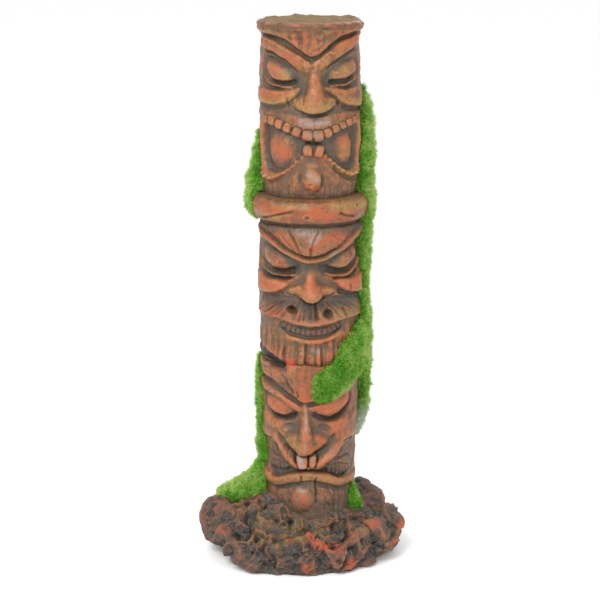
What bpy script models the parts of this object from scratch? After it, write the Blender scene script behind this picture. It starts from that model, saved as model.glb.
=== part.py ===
"""Carved totem ornament: three stacked tiki heads on a lava-rock base, with patches of flocked moss.

Each head and the base is its own casting. A head stands on the piece below it by a round spigot that
sits in a socket, and every moss patch is a separate pad on the outside. Lengths are in millimetres
here and become metres where a mesh is made. The frame is +Z up, the pole's axis is X = Y = 0, the
underside is Z = 0 and the faces look along -Y.

A place on the pole is given as (s, z): s is the arc length round the pole from the front centre line,
positive towards +X and measured at POLE_R, and z is the height.
"""

import math

import bmesh
import bpy
from mathutils import Vector, noise
from mathutils.bvhtree import BVHTree

MM = 0.001
GAP = 0.3

# Driving dimensions
POLE_R = 20.7
SEAT_Z = 20.0
LOWER_TOP = 90.0
MIDDLE_TOP = 161.0
TOP_Z = 234.0
SPIGOT_LENGTH = 8.0
BASE_SPIGOT_R = 14.0
HEAD_SPIGOT_R = 12.0

# Radius of each casting against height, without its carving
LOWER_PROFILE = [(20.0, 19.6), (36.0, 19.5), (50.0, 19.7), (58.0, 20.6), (80.0, 20.8), (86.0, 21.4), (90.0, 20.6)]
MIDDLE_PROFILE = [(90.0, 21.2), (92.5, 23.2), (96.0, 22.4), (110.0, 21.6), (122.0, 22.2), (146.0, 21.2),
                  (150.0, 21.6), (151.5, 24.2), (157.0, 24.9), (160.0, 24.0), (161.0, 22.4)]
UPPER_PROFILE = [(161.0, 19.6), (166.0, 20.4), (185.0, 21.0), (212.0, 21.0), (227.0, 19.8), (229.6, 20.4),
                 (231.0, 22.0), (233.0, 22.0), (234.0, 20.8)]

# Rock base against bearing from +X, in degrees: radius of its widest line, height of its top. Its section is
# in shares of the two.
ROCK_OUTLINE = [(0, 42.0), (30, 40.5), (60, 36.0), (90, 33.5), (120, 37.0), (150, 43.5), (180, 48.8),
                (205, 46.5), (230, 42.5), (255, 37.5), (280, 35.5), (305, 37.0), (330, 40.0), (360, 42.0)]
ROCK_SECTION = [(0.84, 0.0), (0.92, 0.12), (0.98, 0.29), (1.0, 0.48), (0.99, 0.67), (0.95, 0.84), (0.88, 0.95),
                (0.80, 1.0), (0.70, 0.98)]
ROCK_TOP = [(0, 20.0), (35, 25.5), (65, 26.5), (100, 22.5), (140, 22.0), (180, 24.8), (205, 23.5), (235, 19.5),
            (270, 18.4), (315, 18.8), (360, 20.0)]
ROCK_LUMP = 3.4
SEAT_R = 22.4
COLLAR_R = 24.6

# Moss on the pole's side: height, first and last arc position, and the radius it stands out to
MOSS_RIGHT = [(206.0, 31.0, 36.0, 22.8), (203.0, 30.0, 39.0, 25.0), (198.0, 29.5, 42.0, 26.2),
              (190.0, 29.0, 43.0, 27.4), (175.0, 29.0, 44.0, 27.8), (165.0, 29.0, 44.0, 27.4),
              (160.0, 29.5, 44.0, 28.4), (152.0, 29.5, 44.0, 28.0), (146.0, 28.0, 44.0, 27.0),
              (134.0, 28.0, 44.0, 26.3), (120.0, 28.0, 43.0, 25.2), (113.0, 28.0, 43.0, 25.6),
              (106.0, 28.0, 43.0, 26.8), (92.0, 28.0, 43.0, 27.2), (76.0, 28.0, 43.0, 26.6),
              (66.0, 29.0, 42.0, 25.8), (60.0, 30.0, 41.0, 24.4), (55.0, 31.0, 39.0, 23.2),
              (52.0, 32.0, 37.0, 21.8)]
MOSS_DRAPE = [(106.0, 24.0, 27.5, 23.4), (103.0, 21.0, 27.5, 24.6), (99.0, 14.5, 27.5, 25.6),
              (95.0, 12.5, 27.5, 26.2), (91.0, 10.0, 27.5, 26.4), (88.0, 6.0, 27.5, 26.2),
              (85.0, 2.0, 26.0, 25.8), (80.0, 0.5, 18.5, 25.0), (76.0, 2.0, 12.0, 24.0), (73.5, 4.5, 8.0, 22.8)]
MOSS_LEFT_UPPER = [(187.0, -38.0, -32.0, 21.9), (183.0, -40.0, -31.0, 22.9), (179.0, -42.0, -30.5, 24.3),
                   (172.0, -43.0, -30.0, 25.8), (165.0, -44.0, -30.0, 27.8), (157.0, -44.0, -30.5, 28.4),
                   (153.0, -43.0, -31.0, 27.4), (150.0, -41.0, -32.0, 26.2)]
MOSS_LEFT_LOWER = [(88.0, -38.0, -29.0, 22.2), (84.0, -41.0, -27.5, 23.4), (70.0, -42.0, -27.0, 23.8),
                   (58.0, -42.0, -27.0, 23.6), (50.0, -42.0, -27.0, 23.2), (46.5, -41.0, -28.0, 22.8)]
MOSS_FOOT_RIGHT = [(33.0, 20.5, 23.5, 21.6), (29.0, 19.0, 25.5, 23.6), (25.0, 18.5, 26.5, 24.6)]
# Moss mound on the rock: X, first and last Y, and its crest
MOSS_MOUND = [(-41.0, -3.0, 5.0, 26.5), (-36.0, -8.0, 9.0, 31.0), (-31.0, -11.0, 12.0, 35.5),
              (-26.0, -12.0, 13.0, 40.0), (-21.6, -10.0, 11.0, 45.0)]
MOSS_PITCH = 4.0
MOSS_STEPS = 5
MOSS_EDGE = 0.8

COLUMNS_FRONT = 38
COLUMNS_BACK = 10
FRONT_ANGLE = math.radians(85)
ROW_PITCH = 2.0
ROCK_COLUMNS = 52


def material(name, colour, roughness):
    """A plain Principled material."""
    made = bpy.data.materials.new(name)
    made.use_nodes = True
    shader = made.node_tree.nodes["Principled BSDF"]
    shader.inputs["Base Color"].default_value = (*colour, 1.0)
    shader.inputs["Roughness"].default_value = roughness
    shader.inputs["Metallic"].default_value = 0.0
    return made


def smooth(t):
    t = max(0.0, min(1.0, t))
    return t * t * (3.0 - 2.0 * t)


def along(table, x):
    """The value at x of a table of (x, value) rows, eased from row to row."""
    if x <= table[0][0]:
        return table[0][1]
    for (x0, v0), (x1, v1) in zip(table, table[1:]):
        if x <= x1:
            return v0 + (v1 - v0) * smooth((x - x0) / (x1 - x0))
    return table[-1][1]


# Carving: each feature is a function of (s, z) that gives how far the surface stands out


def bump(s0, z0, half_width, half_height, out, tilt=0.0):
    """A rounded lump, or with out below 0 a hollow, its long axis turned by tilt degrees."""
    c, n = math.cos(math.radians(tilt)), math.sin(math.radians(tilt))

    def relief(s, z):
        a, b = s - s0, z - z0
        d = ((a * c + b * n) / half_width) ** 2 + ((b * c - a * n) / half_height) ** 2
        return out * (1.0 - d) ** 0.6 if d < 1.0 else 0.0

    return relief


def ridge(points, width, out):
    """A raised bead along a line of (s, z) points, or with out below 0 a groove."""

    def relief(s, z):
        near = 1e9
        for (s0, z0), (s1, z1) in zip(points, points[1:]):
            length2 = (s1 - s0) ** 2 + (z1 - z0) ** 2
            t = max(0.0, min(1.0, ((s - s0) * (s1 - s0) + (z - z0) * (z1 - z0)) / length2))
            near = min(near, math.hypot(s - s0 - t * (s1 - s0), z - z0 - t * (z1 - z0)))
        return out * smooth(1.0 - near / width)

    return relief


def both_sides(make, centre, points, *sizes):
    """The same line on both sides of a face's centre line."""
    return [make([(centre + side * s, z) for s, z in points], *sizes) for side in (-1, 1)]


def eyes(centre, spread, z, half_width, half_height, tilt):
    """A closed lid on each side, with the dark hollow under it."""
    made = []
    for side in (-1, 1):
        s = centre + side * spread
        made.append(bump(s, z - 1.5, half_width + 2.0, half_height + 3.5, -1.9, side * tilt))
        made.append(bump(s, z, half_width, half_height, 2.2, side * tilt))
    return made


def nose(centre, top, tip, bridge, wing, out):
    """A bridge that widens into a broad tip with a wing on each side."""
    made = [ridge([(centre, top), (centre, tip + 4.0)], bridge, 0.6 * out)]
    made.append(bump(centre, tip + 4.4, 5.0, 5.4, out))
    made += [bump(centre + side * wing, tip + 4.6, 3.8, 3.6, 0.62 * out) for side in (-1, 1)]
    return made


def upper_carving():
    centre = 1.0
    made = [bump(centre, 230.0, 15.0, 10.0, 1.2)]
    made += both_sides(ridge, centre, [(0, 218), (8, 222), (24, 226)], 3.2, 2.0)
    made += eyes(centre, 14.5, 214.0, 7.5, 3.8, 25)
    made += nose(centre, 217.0, 196.5, 4.2, 7.0, 4.6)
    made += both_sides(ridge, centre, [(6, 206), (14, 203), (28, 202)], 3.6, 1.8)
    made += both_sides(ridge, centre, [(0, 196.5), (10, 197), (28, 196.5)], 2.4, -1.4)
    made += both_sides(ridge, centre, [(1, 188), (8, 190), (16, 193), (24, 194)], 2.6, 1.6)
    for side in (-1, 1):
        made.append(bump(centre + side * 14.0, 182.0, 9.0, 9.5, -2.2))
        made.append(bump(centre + side * 14.5, 181.0, 6.0, 7.0, 2.0))
        made.append(ridge([(centre + side * 24, 193), (centre + side * 24, 171)], 2.4, 1.2))
    made += both_sides(ridge, centre, [(1, 181.5), (6, 178), (14, 171), (24, 170)], 2.6, 1.6)
    made.append(bump(centre, 168.5, 3.8, 5.0, 1.8))
    return made


def middle_carving():
    centre = 0.0
    made = both_sides(ridge, centre, [(0, 135.5), (8, 138), (16, 143), (28, 146.5)], 2.2, 1.6)
    made.append(bump(centre, 144.0, 10.0, 7.5, 1.0))
    made += eyes(centre, 16.0, 135.0, 8.5, 3.4, 12)
    made += nose(centre, 131.0, 118.0, 4.0, 6.8, 4.4)
    made += both_sides(ridge, centre, [(10, 124.5), (18, 123.5), (28, 123)], 3.8, 1.6)
    made += both_sides(ridge, centre, [(0, 113), (10, 114), (20, 111), (28, 111)], 4.2, 1.6)
    made.append(ridge([(-13, 106.5), (-6, 104), (0, 103.4), (6, 104), (13, 106.5)], 2.2, -1.2))
    return made


def lower_carving():
    centre = -2.0
    made = both_sides(ridge, centre, [(0, 72), (8, 74.5), (16, 78.5), (26, 81.5)], 1.8, -1.2)
    made += both_sides(ridge, centre, [(2, 69.5), (10, 74), (18, 77.5), (26, 79)], 2.2, 0.8)
    made += eyes(centre, 13.0, 70.0, 8.5, 3.6, 18)
    made += nose(centre, 69.0, 50.5, 3.6, 6.2, 4.4)
    made += both_sides(ridge, centre, [(0, 44.5), (6, 46.5), (12, 50.5), (16, 56)], 2.6, 1.8)
    for side in (-1, 1):
        made.append(bump(centre + side * 14.0, 41.5, 8.0, 4.0, -2.2, -side * 8))
    made += both_sides(ridge, centre, [(0, 40.5), (8, 39.5), (16, 36), (26, 36.5)], 2.4, 1.5)
    made.append(bump(-3.5, 28.5, 6.0, 6.0, 2.0))
    return made


def columns():
    """The bearings of a casting's columns, close together across the face."""
    front = [-FRONT_ANGLE + 2 * FRONT_ANGLE * i / COLUMNS_FRONT for i in range(COLUMNS_FRONT)]
    rest = 2 * math.pi - 2 * FRONT_ANGLE
    return front + [FRONT_ANGLE + rest * i / COLUMNS_BACK for i in range(COLUMNS_BACK)]


def point(radius, angle, z):
    """A point of the pole at a bearing from the front centre line."""
    return Vector((radius * math.sin(angle), -radius * math.cos(angle), z))


def carved_radius(profile, carving, angle, z):
    """The radius of a casting at a place: its profile, the tallest feature there and the deepest hollow."""
    s = POLE_R * (angle if angle <= math.pi else angle - 2 * math.pi)
    fade = smooth((32.0 - abs(s)) / 5.0)
    depths = [relief(s, z) for relief in carving]
    return along(profile, z) + fade * (max(0.0, *depths) + min(0.0, *depths))


def closed_body(name, rings, colour):
    """One closed solid through a stack of equal rings, with a flat face at each end."""
    mesh = bpy.data.meshes.new(name)
    bm = bmesh.new()
    loops = [[bm.verts.new(p * MM) for p in ring] for ring in rings]
    for low, high in zip(loops, loops[1:]):
        for i, first in enumerate(low):
            j = (i + 1) % len(low)
            bm.faces.new((first, low[j], high[j], high[i]))
    bm.faces.new(list(reversed(loops[0])))
    bm.faces.new(loops[-1])
    bmesh.ops.recalc_face_normals(bm, faces=bm.faces)
    bm.to_mesh(mesh)
    bm.free()
    mesh.shade_smooth()
    mesh.set_sharp_from_angle(angle=math.radians(40))
    mesh.materials.append(colour)
    made = bpy.data.objects.new(name, mesh)
    bpy.context.scene.collection.objects.link(made)
    return made


def head(name, bottom, top, profile, carving, spigot_r, socket_r, colour):
    """A head's casting: its spigot, its shoulder, the carved side, and the socket in its top."""
    angles = columns()
    low = bottom + GAP
    rows = round((top - low) / ROW_PITCH)
    rings = [[point(spigot_r, a, low - SPIGOT_LENGTH) for a in angles], [point(spigot_r, a, low) for a in angles]]
    for row in range(rows + 1):
        z = low + (top - low) * row / rows
        rings.append([point(carved_radius(profile, carving, a, z), a, z) for a in angles])
    if socket_r:
        depth = SPIGOT_LENGTH + GAP
        rings.append([point(socket_r + GAP, a, top) for a in angles])
        rings.append([point(socket_r + GAP, a, top - depth + GAP) for a in angles])
    return closed_body(name, rings, colour)


def rock_point(share, rise, bearing):
    """A point of the rock's skin, pushed in and out by coarse lumps."""
    degrees = math.degrees(bearing)
    r = share * along(ROCK_OUTLINE, degrees)
    place = Vector((r * math.cos(bearing), r * math.sin(bearing), rise * along(ROCK_TOP, degrees)))
    lump = noise.noise(place / 9.0) + 0.5 * noise.noise(place / 4.0)
    outward = Vector((math.cos(bearing), math.sin(bearing), 0)) * smooth((share - 0.6) / 0.3)
    upward = Vector((0, 0, 1)) * smooth((rise - 0.6) / 0.3)
    return place + (outward + upward) * lump * ROCK_LUMP * smooth(rise / 0.2)


def rock_base(colour):
    """The rock: a flat underside, lumpy sides and top, the seat for the pole's foot, and its socket."""
    bearings = [2 * math.pi * i / ROCK_COLUMNS for i in range(ROCK_COLUMNS)]

    def ring(radius, z):
        return [Vector((radius * math.cos(b), radius * math.sin(b), z)) for b in bearings]

    rings = [[rock_point(share, rise, b) for b in bearings] for share, rise in ROCK_SECTION]
    rings += [ring(COLLAR_R, SEAT_Z + 1.6), ring(SEAT_R, SEAT_Z + 0.8), ring(SEAT_R, SEAT_Z)]
    rings += [ring(BASE_SPIGOT_R + GAP, SEAT_Z), ring(BASE_SPIGOT_R + GAP, SEAT_Z - SPIGOT_LENGTH)]
    return closed_body("rock_base", rings, colour)


def pole_radius(carvings, angle, z):
    """How far the pole reaches near a place: the most that any head has within a row or a column of it."""
    found = 0.0
    for dz in (-MOSS_PITCH, -0.5 * MOSS_PITCH, 0.0, 0.5 * MOSS_PITCH, MOSS_PITCH):
        near = z + dz
        tier = 0 if near < LOWER_TOP else 1 if near < MIDDLE_TOP else 2
        profile, carving = carvings[tier]
        found = max(found, *(carved_radius(profile, carving, angle + da, near) for da in (-0.08, 0.0, 0.08)))
    return found


def column(table, i):
    """Two columns of a table, as a table of (height, value) rows that rise."""
    return sorted((row[0], row[i]) for row in table)


def moss_strip(name, table, carvings, colour):
    """A pad of moss that hugs the pole's side."""
    low, high = table[-1][0], table[0][0]
    rows = max(3, round((high - low) / MOSS_PITCH))
    steps = max(MOSS_STEPS, round((table[len(table) // 2][2] - table[len(table) // 2][1]) / 3.0))
    rings = []
    for row in range(rows + 1):
        z = low + (high - low) * row / rows
        first, last, out = (along(column(table, i), z) for i in (1, 2, 3))
        outer, inner = [], []
        for step in range(steps + 1):
            share = step / steps
            angle = (first + (last - first) * share) / POLE_R
            skin = pole_radius(carvings, angle, z) + GAP
            crown = math.sin(math.pi * share) ** 0.5 if 0 < step < steps else 0.0
            inner.append(point(skin, angle, z))
            outer.append(point(skin + MOSS_EDGE + crown * max(0.0, out - skin - MOSS_EDGE), angle, z))
        rings.append(outer + inner[::-1])
    return closed_body(name, rings, colour)


def moss_mound(name, table, rock, colour):
    """A mound of moss that lies on the rock beside the pole's foot."""
    skin = BVHTree.FromObject(rock, bpy.context.evaluated_depsgraph_get())
    rings = []
    for x, first, last, crest in table:
        upper, under = [], []
        for step in range(MOSS_STEPS + 1):
            share = step / MOSS_STEPS
            y = first + (last - first) * share
            near = [skin.ray_cast(Vector((x + dx, y + dy, 60.0)) * MM, Vector((0, 0, -1)))[0]
                    for dx in (-3, 0, 3) for dy in (-3, 0, 3)]
            floor = max(hit.z / MM for hit in near if hit) + GAP
            under.append(Vector((x, y, floor)))
            rise = math.sin(math.pi * share) ** 0.6 if 0 < step < MOSS_STEPS else 0.0
            upper.append(Vector((x, y, floor + MOSS_EDGE + rise * max(0.0, crest - floor - MOSS_EDGE))))
        rings.append(upper + under[::-1])
    return closed_body(name, rings, colour)


def main():
    for old in list(bpy.data.objects):
        bpy.data.objects.remove(old, do_unlink=True)
    resin = material("painted_resin", (0.34, 0.16, 0.09), 0.55)
    rock = material("rock_resin", (0.15, 0.10, 0.075), 0.7)
    moss = material("moss_flock", (0.12, 0.24, 0.035), 0.95)
    lower, middle, upper = carvings = [(LOWER_PROFILE, lower_carving()), (MIDDLE_PROFILE, middle_carving()),
                                       (UPPER_PROFILE, upper_carving())]
    base = rock_base(rock)
    head("lower_tiki", SEAT_Z, LOWER_TOP, *lower, BASE_SPIGOT_R, HEAD_SPIGOT_R, resin)
    head("middle_tiki", LOWER_TOP, MIDDLE_TOP, *middle, HEAD_SPIGOT_R, HEAD_SPIGOT_R, resin)
    head("upper_tiki", MIDDLE_TOP, TOP_Z, *upper, HEAD_SPIGOT_R, 0.0, resin)
    moss_strip("moss_right_strip", MOSS_RIGHT, carvings, moss)
    moss_strip("moss_front_drape", MOSS_DRAPE, carvings, moss)
    moss_strip("moss_left_upper", MOSS_LEFT_UPPER, carvings, moss)
    moss_strip("moss_left_lower", MOSS_LEFT_LOWER, carvings, moss)
    moss_strip("moss_foot_right", MOSS_FOOT_RIGHT, carvings, moss)
    moss_mound("moss_base_left", MOSS_MOUND, base, moss)


main()
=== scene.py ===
"""The look of the carved totem: sculpted and painted castings, lava rock and flocked moss.

Each casting is a fine grid of points over its CAD solid. Relief is worked into it as a carver would,
with grooves, plates and rounded lumps, and the paint follows the relief: a slate wash in the cuts and
dry-brushed orange and ochre on what stands out. Slits, gaps and creases also get painted shade, noses,
chin tops and teeth painted highlights, and the moss a painted light at the pole's sides. Shapes are
worked out in millimetres and become metres where a mesh is made.

A place on the pole is (s, z): s is the arc length round the pole from the front centre line, positive
towards +X and measured at POLE_R, and z is the height.
"""

import math

import bpy
import numpy as np
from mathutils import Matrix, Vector


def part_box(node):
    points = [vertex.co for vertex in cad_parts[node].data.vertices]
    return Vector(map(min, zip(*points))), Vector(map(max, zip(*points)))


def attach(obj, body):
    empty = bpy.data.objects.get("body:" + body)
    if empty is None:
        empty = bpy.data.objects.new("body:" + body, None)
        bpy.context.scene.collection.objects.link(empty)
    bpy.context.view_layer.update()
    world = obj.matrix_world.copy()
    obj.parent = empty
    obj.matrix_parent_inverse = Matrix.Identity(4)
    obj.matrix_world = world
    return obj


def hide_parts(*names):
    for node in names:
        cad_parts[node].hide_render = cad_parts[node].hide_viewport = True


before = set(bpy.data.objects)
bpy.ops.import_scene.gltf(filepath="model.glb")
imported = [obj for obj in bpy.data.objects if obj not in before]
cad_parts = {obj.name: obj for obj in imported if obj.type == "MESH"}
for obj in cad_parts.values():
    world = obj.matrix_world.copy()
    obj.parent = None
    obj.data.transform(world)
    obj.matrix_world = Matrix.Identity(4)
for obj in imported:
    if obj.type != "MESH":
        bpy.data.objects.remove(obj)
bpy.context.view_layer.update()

MM = 0.001
POLE_R = 20.7

HEADS = ("lower_tiki", "middle_tiki", "upper_tiki")
LOWER_TOP, MIDDLE_TOP, TOP_Z = (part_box(node)[1][2] / MM for node in HEADS)

FACE_HALF = 34.0    # the fine columns reach this far round each side
FACE_PITCH, BACK_PITCH = 0.3, 0.55
SIDE_FADE = (29.5, 36.0)    # the carving fades into plain bark between these arc lengths
SIDE_OUT, SIDE_DEEP = 0.8, -1.3    # the most relief at the pole's sides
WANDER = 0.5    # how far every carved line strays from its drawn place
SEAM = 0.3      # gap between castings
SEAM_DIP = 0.6  # how far a casting's bottom edge dips, so that no light shows through the seam


# ---------------------------------------------------------------- numbers and noise


def numbers(text):
    """Rows of numbers from text, with commas between the rows."""
    return [tuple(float(v) for v in row.split()) for row in text.split(",")]


def smooth(t):
    t = np.clip(t, 0.0, 1.0)
    return t * t * (3.0 - 2.0 * t)


def mix(a, b, t):
    return a + (b - a) * t


def soft_max(a, b, k):
    """The larger of two surfaces, with the crease between them filled over a width of k."""
    h = np.clip(0.5 + 0.5 * (a - b) / k, 0.0, 1.0)
    return mix(b, a, h) + k * h * (1.0 - h)


def table(rows, x):
    """The value at x of a table of (x, value) rows, eased from row to row."""
    xs = np.array([r[0] for r in rows], float)
    vs = np.array([r[1] for r in rows], float)
    i = np.clip(np.searchsorted(xs, x, side="right") - 1, 0, len(xs) - 2)
    return mix(vs[i], vs[i + 1], smooth((x - xs[i]) / (xs[i + 1] - xs[i])))


SIGNS = [(i, j) for j in (1, -1) for i in (1, -1)]
GRADIENTS = np.array([(i, j, 0) for i, j in SIGNS] + [(i, 0, j) for i, j in SIGNS]
                     + [(0, i, j) for i, j in SIGNS]
                     + [(1, 1, 0), (-1, 1, 0), (0, -1, 1), (0, -1, -1)], float)
SHUFFLE = np.random.RandomState(11).permutation(256)


def noise(p, seed=0):
    """Gradient noise, about -1 to 1, at points p of shape (..., 3)."""
    p = p + 31.7 * seed
    cell = np.floor(p).astype(np.int64)
    f = p - cell
    u = f * f * f * (f * (f * 6.0 - 15.0) + 10.0)
    total = np.zeros(p.shape[:-1])
    for dx in (0, 1):
        for dy in (0, 1):
            for dz in (0, 1):
                key = SHUFFLE[(cell[..., 0] + dx) & 255]
                key = SHUFFLE[(key + cell[..., 1] + dy) & 255]
                key = SHUFFLE[(key + cell[..., 2] + dz) & 255]
                g = GRADIENTS[key & 15]
                reach = ((f[..., 0] - dx) * g[..., 0] + (f[..., 1] - dy) * g[..., 1]
                         + (f[..., 2] - dz) * g[..., 2])
                share = ((u[..., 0] if dx else 1 - u[..., 0]) * (u[..., 1] if dy else 1 - u[..., 1])
                         * (u[..., 2] if dz else 1 - u[..., 2]))
                total += share * reach
    return total


def layered(p, octaves, seed=0, gain=0.5):
    """Noise on noise, each layer twice as fine."""
    total, size = np.zeros(p.shape[:-1]), 1.0
    for i in range(octaves):
        total += size * noise(p * 2.0 ** i, seed + 7 * i)
        size *= gain
    return total


def cells(p, spacing, seed):
    """Distances from points p to the nearest and second nearest of scattered centres, in units of spacing."""
    q = p.reshape(-1, 3) / spacing + 5.3 * seed
    cell = np.floor(q).astype(np.int64)
    first, second = np.full(len(q), 9.0), np.full(len(q), 9.0)
    for dx in (-1, 0, 1):
        for dy in (-1, 0, 1):
            for dz in (-1, 0, 1):
                c = cell + (dx, dy, dz)
                key = SHUFFLE[(SHUFFLE[(SHUFFLE[c[:, 0] & 255] + c[:, 1]) & 255] + c[:, 2]) & 255]
                offset = np.stack([SHUFFLE[(key + k) & 255] / 256.0 for k in (1, 77, 153)], axis=1)
                d = np.linalg.norm(c + offset - q, axis=1)
                second = np.minimum(second, np.maximum(first, d))
                first = np.minimum(first, d)
    return first.reshape(p.shape[:-1]), second.reshape(p.shape[:-1])


def blur(field, reach):
    """A field that wraps round its second axis, averaged over about reach rows and columns."""
    weights = np.exp(-0.5 * (np.arange(-2 * reach, 2 * reach + 1) / (0.8 * reach)) ** 2)
    weights /= weights.sum()
    turned = sum(w * np.roll(field, i - 2 * reach, axis=1) for i, w in enumerate(weights))
    padded = np.pad(turned, ((2 * reach, 2 * reach), (0, 0)), mode="edge")
    return sum(w * padded[i:i + field.shape[0]] for i, w in enumerate(weights))


def rounded(points, closed=False, times=2):
    """A line through points with its corners cut."""
    p = np.array(points, float)
    for _ in range(times):
        if closed:
            q = np.roll(p, -1, axis=0)
            p = np.stack([0.75 * p + 0.25 * q, 0.25 * p + 0.75 * q], axis=1).reshape(-1, 2)
        else:
            a, b = p[:-1], p[1:]
            inner = np.stack([0.75 * a + 0.25 * b, 0.25 * a + 0.75 * b], axis=1).reshape(-1, 2)
            p = np.concatenate([p[:1], inner[1:-1], p[-1:]])
    return p


def to_segment(s, z, a, b, length2):
    """Distance from places to the line from a to b, and the share of the way along it."""
    t = np.clip(((s - a[0]) * (b[0] - a[0]) + (z - a[1]) * (b[1] - a[1])) / length2, 0.0, 1.0)
    return np.hypot(s - a[0] - t * (b[0] - a[0]), z - a[1] - t * (b[1] - a[1])), t


# ---------------------------------------------------------------- carving


class Carving:
    """The side of one casting: a grid of places with a relief height and tints at each."""

    def __init__(self, low, high, profile, seed):
        columns = round(2 * FACE_HALF / FACE_PITCH)
        face = np.linspace(-FACE_HALF, FACE_HALF, columns, endpoint=False) / POLE_R
        rest = 2 * math.pi - 2 * FACE_HALF / POLE_R
        count = round(rest * POLE_R / BACK_PITCH)
        self.angle = np.concatenate([face, FACE_HALF / POLE_R + rest * np.arange(count) / count])
        self.rows = np.linspace(low, high, round((high - low) / FACE_PITCH) + 1)
        angle, z = np.meshgrid(self.angle, self.rows)
        self.radius = table(profile, z)
        self.true_angle = angle
        turn = np.where(angle > math.pi, angle - 2 * math.pi, angle)
        self.place = np.stack([POLE_R * np.sin(angle), -POLE_R * np.cos(angle), z], axis=-1)
        self.true_s, self.true_z = POLE_R * turn, z
        coarse, fine = self.place / 6.0, self.place / 2.2
        self.s = self.true_s + WANDER * noise(coarse, seed) + 0.3 * WANDER * noise(fine, seed + 1)
        self.z = z + WANDER * noise(coarse, seed + 2) + 0.3 * WANDER * noise(fine, seed + 3)
        self.h, self.lift = np.zeros_like(z), np.zeros_like(z)
        self.seed = seed
        # Tints over the paint: the slate and dark grey ones are partly painted shade, the light pinkish-grey
        # one partly painted highlights
        self.tints = {name: np.zeros_like(z) for name in ("ochre", "glow", "soot", "pale", "dark")}

    def near(self, points, reach):
        low, high = points.min(axis=0) - reach, points.max(axis=0) + reach
        return (self.s > low[0]) & (self.s < high[0]) & (self.z > low[1]) & (self.z < high[1])

    def turned(self, s0, z0, tilt):
        """Each place's offsets from a centre, along and across an axis tilted by some degrees."""
        c, n = math.cos(math.radians(tilt)), math.sin(math.radians(tilt))
        a, b = self.s - s0, self.z - z0
        return a * c + b * n, b * c - a * n

    def line_distance(self, points, here):
        """Distance from each place to a line, and the share of the line before its nearest point."""
        s, z = self.s[here], self.z[here]
        best, along = np.full(s.shape, 1e9), np.zeros(s.shape)
        lengths = np.linalg.norm(np.diff(points, axis=0), axis=1)
        start, total = 0.0, lengths.sum()
        for (a, b), length in zip(zip(points[:-1], points[1:]), lengths):
            d, t = to_segment(s, z, a, b, length ** 2)
            nearer = d < best
            best = np.where(nearer, d, best)
            along = np.where(nearer, (start + t * length) / total, along)
            start += length
        return best, along

    def bead(self, points, width, out, ends=0.12, sharp=1.0):
        """A raised bead along a line, or with out below 0 a cut. It runs out to nothing at its ends."""
        line = rounded(points)
        here = self.near(line, width)
        d, t = self.line_distance(line, here)
        run = smooth(np.minimum(t, 1.0 - t) / ends) if ends else 1.0
        self.h[here] += out * run * smooth(1.0 - d / width) ** sharp

    def cut(self, points, width, depth, ends=0.12):
        self.bead(points, width, -depth, ends, 0.8)

    def inside(self, points, here):
        """How far each place is inside a closed outline, below 0 outside."""
        s, z = self.s[here], self.z[here]
        best, odd = np.full(s.shape, 1e9), np.zeros(s.shape, bool)
        for a, b in zip(points, np.roll(points, -1, axis=0)):
            length2 = max(1e-9, (b[0] - a[0]) ** 2 + (b[1] - a[1]) ** 2)
            best = np.minimum(best, to_segment(s, z, a, b, length2)[0])
            crosses = (a[1] > z) != (b[1] > z)
            if a[1] != b[1]:
                odd ^= crosses & (s < (b[0] - a[0]) * (z - a[1]) / (b[1] - a[1]) + a[0])
        return np.where(odd, best, -best)

    def plate(self, points, level, bevel, lean_s=0.0, lean_z=0.0, crown=0.0):
        """Bring the surface inside an outline to a level, tilted per mm of s and z and rounded by crown."""
        outline = rounded(points, closed=True)
        here = self.near(outline, bevel)
        depth = self.inside(outline, here)
        middle = outline.mean(axis=0)
        target = level + lean_s * (self.s[here] - middle[0]) + lean_z * (self.z[here] - middle[1])
        if crown:
            target = target + crown * (1.0 - np.exp(-np.clip(depth, 0.0, None) / 2.5))
        self.h[here] = mix(self.h[here], target, smooth(0.5 + depth / bevel))

    def dome(self, s0, z0, half_s, half_z, base, out, tilt=0.0, blend=0.0, steep=0.5):
        """A rounded lump that stands out from base. A steep of 1 gives it gently sloping sides."""
        along, up = self.turned(s0, z0, tilt)
        q = (along / half_s) ** 2 + (up / half_z) ** 2
        here = q < 1.0
        lump = base + out * (1.0 - q[here]) ** steep
        self.h[here] = soft_max(lump, self.h[here], blend) if blend else np.maximum(lump, self.h[here])

    def hollow(self, s0, z0, half_s, half_z, depth, tilt=0.0):
        along, up = self.turned(s0, z0, tilt)
        self.h -= depth * smooth(1.0 - np.hypot(along / half_s, up / half_z)) ** 0.8

    def tooth(self, s0, z0, half_s, half_z, base, out, tilt=0.0):
        """One tooth: a rounded block with a narrow gap round it."""
        along, up = np.abs(self.turned(s0, z0, tilt))
        here = (along / (half_s + 0.2)) ** 4 + (up / (half_z + 0.2)) ** 4 < 1.0
        self.h[here] = np.minimum(self.h[here], base)
        q = (along / half_s) ** 3.6 + (up / half_z) ** 3.6
        here = q < 1.0
        self.h[here] = base + out * (1.0 - q[here]) ** 0.5

    def teeth(self, rows, base, out):
        """Teeth from rows of place, half sizes and tilt."""
        for s0, z0, half_s, half_z, tilt in rows:
            self.tooth(s0, z0, half_s, half_z, base, out, tilt)

    def lip(self, points):
        """A raised lip with a row of small lumps along it, no two quite alike."""
        spacing, size, out = 2.7, 1.5, 1.3
        self.bead(points, 2.2, 0.9)
        line = rounded(points)
        length = np.concatenate([[0.0], np.cumsum(np.linalg.norm(np.diff(line, axis=0), axis=1))])
        for i, at in enumerate(np.arange(0.5 * spacing, length[-1], spacing)):
            s, z = np.interp(at, length, line[:, 0]), np.interp(at, length, line[:, 1])
            near = np.hypot((self.s - s) / size, (self.z - z) / size) * (1.0 + 0.12 * math.sin(7.3 * i))
            self.h += (out + 0.15 * math.sin(4.1 * i)) * smooth(1.0 - near)

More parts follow.
